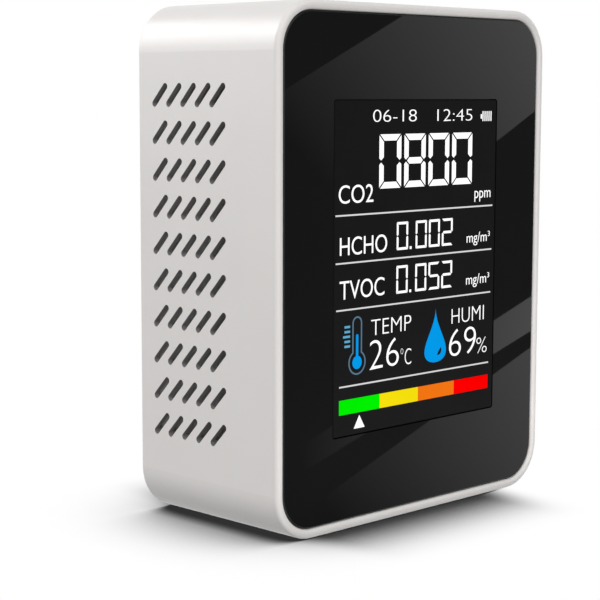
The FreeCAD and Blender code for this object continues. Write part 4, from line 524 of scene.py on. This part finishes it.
def make_labels():
    """Each label with its text, its weight, and the left, top, right and bottom of its box."""
    for name, text, weight, *box in (
        ("clock_figures", "06-18   12:45", LIGHT, 23.0, 18.0, 49.4, 20.1),
        ("carbon_dioxide_label", "CO2", PLAIN, 14.65, 30.6, 23.2, 33.7),
        ("carbon_dioxide_unit", "ppm", PLAIN, 50.4, 32.85, 55.0, 34.85),
        ("formaldehyde_label", "HCHO", PLAIN, 15.0, 39.4, 26.8, 42.5),
        ("formaldehyde_unit", "mg/m³", PLAIN, 48.35, 40.4, 55.0, 42.85),
        ("compound_label", "TVOC", PLAIN, 15.0, 46.8, 26.2, 50.0),
        ("compound_unit", "mg/m³", PLAIN, 48.35, 48.1, 55.0, 50.55),
        ("temperature_label", "TEMP", LIGHT, 22.9, 54.1, 33.3, 56.8),
        ("temperature_figures", "26", LIGHT, 22.6, 57.7, 30.1, 62.8),
        ("temperature_unit", "°C", LIGHT, 30.6, 59.9, 33.4, 62.9),
        ("humidity_label", "HUMI", LIGHT, 44.4, 54.1, 53.6, 56.8),
        ("humidity_figures", "69", LIGHT, 43.8, 57.8, 51.4, 62.8),
        ("humidity_unit", "%", LIGHT, 51.6, 60.1, 54.6, 63.0),
    ):
        label(name, text, weight, *box)


def make_rules():
    """The four thin lines between the readings."""
    half = 0.135
    rules = ((13.9, 55.6, 35.7), (14.0, 55.5, 43.8), (14.2, 55.4, 51.8), (15.0, 55.1, 65.0))
    outlines = [bar(left, y - half, right, y + half) for left, right, y in rules]
    shapes("display_rules", "line", outlines)


def make_colour_bar():
    """The four-colour quality bar and its pointer."""
    edges = (15.0, 25.2, 35.3, 45.2, 55.0)
    for colour, left, right in zip(("green", "yellow", "orange", "red"), edges, edges[1:]):
        shapes(f"quality_{colour}", colour, [bar(left, 67.3, right, 69.85)])
    shapes("quality_pointer", "white", [[(20.05, 70.35), (21.4, 72.6), (18.7, 72.6)]])


def make_battery_sign():
    """Five bars, and the battery's pole at their left."""
    first, pitch, wide = 52.35, 0.58, 0.26
    lefts = [first + i * pitch for i in range(5)]
    pole = bar(51.85, 18.95, 52.2, 19.75)
    shapes("battery_sign", "white", [bar(left, 18.4, left + wide, 20.2) for left in lefts] + [pole])


def thermometer_outline(centre, bulb, tube, top):
    """A round bulb under a tube with a round end."""
    opening = math.degrees(math.asin(tube / bulb))
    points = list(arc(centre, bulb, -90 + opening, 270 - opening, 40))
    return points + list(arc((centre[0], top + tube), tube, -180, 0, 16))


def make_thermometer():
    """The thermometer's outline, its filling and the five ticks at its left."""
    centre, top = (19.4, 61.1), 53.1
    bulb, tube, stroke = 2.15, 1.2, 0.28
    mesh = bmesh.new()
    outer = thermometer_outline(centre, bulb, tube, top)
    inner = thermometer_outline(centre, bulb - stroke, tube - stroke, top + stroke)
    add_band(mesh, outer, inner)
    figure("thermometer_outline", mesh, "outline_blue")
    shapes("thermometer_fill", "blue", [thermometer_outline(centre, 1.15, 0.28, 56.2)])
    first, pitch, half, right = 54.75, 0.84, 0.2, 17.6
    lefts = (16.25, 16.25, 15.9, 16.25, 16.25)
    heights = [first + i * pitch for i in range(len(lefts))]
    ticks = [bar(left, y - half, right, y + half) for left, y in zip(lefts, heights)]
    shapes("thermometer_ticks", "pale_blue", ticks)


def make_drop():
    """The water drop, with a dark curved glint near its lower right edge."""
    middle, top, bottom, half_width, sharpness, steps = 39.95, 53.7, 63.35, 2.95, 2.8, 48
    turns = [2 * math.pi * i / steps for i in range(steps)]
    widths = [math.sin(t) * math.sin(t / 2) ** sharpness for t in turns]
    widest = max(widths)
    outline = []
    for turn, wide in zip(turns, widths):
        down = (1 - math.cos(turn)) / 2
        outline.append((middle + half_width * wide / widest, top + (bottom - top) * down))
    shapes("water_drop", "blue", [outline])

    centre, radius, start, end, steps = (middle - 0.05, 60.6), 1.55, 5, 70, 12
    thickest, thinnest = 0.34, 0.02
    inner, outer = [], []
    for i, (x, y) in enumerate(arc(centre, radius, start, end, steps)):
        half = thickest * math.sin(math.pi * i / steps) + thinnest
        angle = math.atan2(y - centre[1], x - centre[0])
        inner.append((x - half * math.cos(angle), y - half * math.sin(angle)))
        outer.append((x + half * math.cos(angle), y + half * math.sin(angle)))
    mesh = bmesh.new()
    add_prism(mesh, outer + inner[::-1])
    for vertex in mesh.verts:
        vertex.co.y -= FIGURE_THICKNESS / 3
    figure("water_drop_glint", mesh, "dark")


# Studio

CAMERA_TARGET = Vector((-12.4, 0, 37.9)) * MM
CAMERA_DISTANCE = 302.3 * MM
CAMERA_AZIMUTH = math.radians(-44.8)
CAMERA_ELEVATION = math.radians(7.0)
CAMERA_ROLL = math.radians(0.15)
LENS = 101

FLOOR_HALF = 3.0
FLOOR_SHADE = 0.25
SHADOW_REACH = 24 * MM
SHADOW_DARKEST = 0.03
# How open the floor is, as a share, where its painted shadow is darkest and where it ends.
SHADOW_OPENNESS = 0.5, 1.0
# Stretches of X across which a share of the painted shadow goes away: start, end and share.
SHADOW_FADES = (
    (CAD_LOW.x + 12 * MM, CAD_LOW.x + 4 * MM, 0.38),
    (CAD_HIGH.x - 19 * MM, CAD_HIGH.x - 6 * MM, 1.0),
)

AMBIENT = 0.28
LAMP_AIM = (0, 0, 0.045)
# Area lamps aimed at the object's middle: place and size in metres, and power in watts.
LAMPS = {
    "key": dict(position=(-0.70, -0.25, 0.70), size=(0.5, 0.5), power=4.9),
    "front": dict(position=(0.35, -0.95, 0.08), size=(0.6, 0.12), power=3.5),
    "edge": dict(position=(-0.70, -0.72, 0.20), size=(0.2, 0.3), power=3.2),
    "right": dict(position=(0.95, 0.20, 0.30), size=(0.3, 0.3), power=4.5),
    "back": dict(position=(0.30, 0.95, 0.35), size=(0.6, 0.4), power=4.5),
    "top_back": dict(position=(-0.35, 0.75, 0.75), size=(0.7, 0.3), power=2.8),
}
FOOT_LAMP = Vector((0, CAD_LOW.y - 22 * MM, 1 * MM))
FOOT_LAMP_DEPTH = 20 * MM
FOOT_LAMP_POWER = 0.012

CARD_DEPTH = -400 * MM
CARD_DARK = 0.06
BAND_STRENGTH = 0.94

HIGHLIGHT_STRENGTH = 7.0
HIGHLIGHT_DISTANCE = 0.5
HIGHLIGHT_HALF_WIDTH = 200 * MM
# How far below and above its brightest line the strip behind the white highlight reaches.
HIGHLIGHT_EDGES = {"lower": -430 * MM, "upper": 165 * MM}
# Where the highlight shows on the rounded upper left corner, and how far the corner leans there.
HIGHLIGHT_DOWN = 5 * MM
HIGHLIGHT_SLOPE = math.radians(24)


def make_camera():
    """The photograph's viewing angle. Gives back where the camera stands."""
    data = bpy.data.cameras.new("camera")
    data.lens = LENS
    data.clip_start = 10 * MM
    camera = bpy.data.objects.new("camera", data)
    bpy.context.scene.collection.objects.link(camera)
    level = math.cos(CAMERA_ELEVATION)
    back = Vector((
        math.sin(CAMERA_AZIMUTH) * level,
        -math.cos(CAMERA_AZIMUTH) * level,
        math.sin(CAMERA_ELEVATION),
    ))
    camera.location = CAMERA_TARGET + back * CAMERA_DISTANCE
    camera.rotation_mode = "QUATERNION"
    camera.rotation_quaternion = (-back).to_track_quat("-Z", "Y")
    camera.rotation_quaternion @= Quaternion((0, 0, 1), CAMERA_ROLL)
    bpy.context.scene.camera = camera
    return camera.location.copy()


def studio_material(name, shader_kind, **values):
    """A material with one shader linked to its output. Gives back the tree and the shader too."""
    material = bpy.data.materials.new(name)
    material.use_nodes = True
    tree = material.node_tree
    tree.nodes.clear()
    shader = add_node(tree, shader_kind, **values)
    add_node(tree, "ShaderNodeOutputMaterial", Surface=shader.outputs[0])
    return material, tree, shader


def plane_object(name, corners, material):
    """A flat piece of the studio from its corners."""
    data = bpy.data.meshes.new(name)
    data.from_pydata([tuple(c) for c in corners], [], [tuple(range(len(corners)))])
    data.materials.append(material)
    made = bpy.data.objects.new(name, data)
    bpy.context.scene.collection.objects.link(made)
    return made


def make_floor():
    """A pale floor, white to the camera but for the soft shadow where the object stands. To the
    camera
    that shadow is painted: an emission whose strength comes from the ambient occlusion node.

    The painted shadow is weaker along the object's left side and dies away at its right one.
    """
    material, tree, mix = studio_material("floor", "ShaderNodeMixShader")
    nearness = add_node(tree, "ShaderNodeAmbientOcclusion", Distance=SHADOW_REACH, samples=32)
    place_node = add_node(tree, "ShaderNodeTexCoord")
    split = add_node(tree, "ShaderNodeSeparateXYZ", Vector=place_node.outputs["Object"])
    openness = nearness.outputs["AO"]
    for start, end, share in SHADOW_FADES:
        lighter = add_node(tree, "ShaderNodeMath", operation="MULTIPLY_ADD")
        for socket, value in zip(lighter.inputs, (openness, 1 - share, share)):
            feed(tree, socket, value)
        along = split.outputs["X"]
        openness = map_range(tree, along, openness, lighter.outputs[0], start, end, "SMOOTHSTEP")
    # Painted shadow: the emission strength the camera sees, from occlusion and the fades along X.
    shadow = map_range(tree, openness, SHADOW_DARKEST, 1.0, *SHADOW_OPENNESS, "SMOOTHSTEP")
    path = add_node(tree, "ShaderNodeLightPath")
    lit = add_node(tree, "ShaderNodeBsdfDiffuse", Color=(FLOOR_SHADE, FLOOR_SHADE, FLOOR_SHADE, 1))
    seen = add_node(tree, "ShaderNodeEmission", Strength=shadow)
    shares = (path.outputs["Is Camera Ray"], lit.outputs[0], seen.outputs[0])
    for socket, value in zip(mix.inputs, shares):
        feed(tree, socket, value)
    corners = [(x, y, 0) for x, y in bar(-FLOOR_HALF, -FLOOR_HALF, FLOOR_HALF, FLOOR_HALF)]
    floor = plane_object("floor", corners, material)
    floor.visible_glossy = False


def make_world():
    """White to the camera and in reflections, and a soft even light for everything else."""
    world = bpy.data.worlds.new("studio")
    bpy.context.scene.world = world
    world.use_nodes = True
    tree = world.node_tree
    path = add_node(tree, "ShaderNodeLightPath")
    seen = path.outputs["Is Camera Ray"]
    for other in ("Is Glossy Ray", "Is Transmission Ray"):
        greatest = add_node(tree, "ShaderNodeMath", operation="MAXIMUM")
        feed(tree, greatest.inputs[0], seen)
        feed(tree, greatest.inputs[1], path.outputs[other])
        seen = greatest.outputs[0]
    background = tree.nodes["Background"]
    background.inputs["Color"].default_value = (1, 1, 1, 1)
    feed(tree, background.inputs["Strength"], map_range(tree, seen, AMBIENT, 1.0, 0.0, 1.0))


def make_lamp(name, position, size, power, aim=LAMP_AIM):
    """A soft rectangular lamp that neither the camera nor a mirror sees."""
    data = bpy.data.lights.new(name, "AREA")
    data.shape = "RECTANGLE"
    data.size, data.size_y = size
    data.energy = power
    lamp = bpy.data.objects.new(name, data)
    bpy.context.scene.collection.objects.link(lamp)
    lamp.location = position
    lamp.rotation_mode = "QUATERNION"
    lamp.rotation_quaternion = (Vector(aim) - Vector(position)).to_track_quat("-Z", "Y")
    lamp.visible_camera = False
    lamp.visible_glossy = False


def make_lamps():
    """The lamps round the object, and a faint one on the floor that lights the rim from below."""
    for name, values in LAMPS.items():
        make_lamp(name, **values)
    above = (FOOT_LAMP.x, FOOT_LAMP.y, HEIGHT)
    make_lamp("foot", FOOT_LAMP, (WIDTH, FOOT_LAMP_DEPTH), FOOT_LAMP_POWER, above)


def make_card(name, corners, strength, fade=None):
    """A flat reflector that only reflections see.

    It may rise from dark to full along a direction: the fade is the direction and its two ends.
    """
    material, tree, light = studio_material(name, "ShaderNodeEmission", Strength=strength)
    if fade:
        direction, start, end = fade
        place_node = add_node(tree, "ShaderNodeTexCoord")
        along = add_node(tree, "ShaderNodeVectorMath", operation="DOT_PRODUCT")
        feed(tree, along.inputs[0], place_node.outputs["Object"])
        feed(tree, along.inputs[1], direction)
        level = map_range(tree, along.outputs["Value"], CARD_DARK, strength, start, end)
        feed(tree, light.inputs["Strength"], level)
    card = plane_object(name, corners, material)
    card.visible_camera = False
    card.visible_diffuse = False
    card.visible_shadow = False
    card.visible_transmission = False
    card.visible_volume_scatter = False


def make_reflection_cards(eye):
    """Cards beside the camera that the glossy panel mirrors as slanting light and dark bands.

    Each band is given where it shows on the panel, in millimetres from the case's left and top, and
    is carried along the mirrored line of sight to the cards.
    """
    mirrored = Vector((eye.x, 2 * PANEL_FACE - eye.y, eye.z))

    def on_card(across, down, depth=CARD_DEPTH):
        x, z = place(across, down)
        on_panel = Vector((x, PANEL_FACE, z))
        reach = (depth - mirrored.y) / (on_panel.y - mirrored.y)
        return mirrored + (on_panel - mirrored) * reach

    margin, case_right = 60, WIDTH / MM
    left, right = -margin, case_right + margin

    def line(at_right, slope):
        """Height of a slanting edge: its place at the case's right side and its slope."""
        return lambda across: at_right + slope * (case_right - across)

    def fade(rise, down, start, end):
        """A fade to the right, and upwards by its rise, between two places across at one height."""
        direction = Vector((1, 0, rise))
        return direction, *(direction.dot(on_card(across, down)) for across in (start, end))

    far = CARD_DEPTH - 5 * MM
    sheet = bar(left, -margin, right, HEIGHT / MM + margin)
    make_card("dark_card", [on_card(across, down, far) for across, down in sheet], CARD_DARK)
    # The upper edge, the lower edge and the fade of each band.
    bands = {
        "upper": (line(-15.9, 0.45), line(17.5, 0.48), fade(1.2, 10, -12.5, 82)),
        "middle": (line(53.0, 0.324), line(59.8, 0.29), fade(0, 55, 6, 68)),
        "lower": (line(62.9, 0.35), line(160, 0.2), fade(0.8, 80, 8, 99)),
    }
    for name, (upper, lower, faded) in bands.items():
        corners = ((left, upper), (right, upper), (right, lower), (left, lower))
        outline = [(across, edge(across)) for across, edge in corners]
        make_card(f"{name}_card", [on_card(*point) for point in outline], BAND_STRENGTH, faded)


def make_side_card():
    """A dark sheet on the floor at the object's right, which keeps the edges of the front dark."""
    near, far = CAD_HIGH.x - 5 * MM, CAD_HIGH.x + 120 * MM
    front, back, height = CAD_LOW.y + 2 * MM, CAD_HIGH.y + 60 * MM, 0.5 * MM
    make_card("side_card", [(x, y, height) for x, y in bar(near, front, far, back)], CARD_DARK)


def make_highlight_card(eye):
    """A bright strip at the left that the case's upper left corner mirrors as a soft white band."""
    corner = Vector((LEFT, 0, HEIGHT - HIGHLIGHT_DOWN))
    normal = Vector((-math.cos(HIGHLIGHT_SLOPE), 0, math.sin(HIGHLIGHT_SLOPE)))
    sight = (eye - corner).normalized()
    towards = 2 * sight.dot(normal) * normal - sight
    middle = corner + towards * HIGHLIGHT_DISTANCE
    side = Vector((0, 0, 1)).cross(towards).normalized()
    up = towards.cross(side).normalized()
    brightest = up.dot(middle)
    for name, edge in HIGHLIGHT_EDGES.items():
        low, high = sorted((edge, 0.0))
        outline = bar(-HIGHLIGHT_HALF_WIDTH, low, HIGHLIGHT_HALF_WIDTH, high)
        corners = [middle + side * across + up * level for across, level in outline]
        fade = (up, brightest + edge, brightest)
        make_card(f"highlight_{name}", corners, HIGHLIGHT_STRENGTH, fade)


dress_nodes()
make_numbers()
make_labels()
make_rules()
make_colour_bar()
make_battery_sign()
make_thermometer()
make_drop()
eye = make_camera()
make_floor()
make_world()
make_lamps()
make_reflection_cards(eye)
make_side_card()
make_highlight_card(eye)
bpy.context.scene.view_settings.view_transform = "Standard"
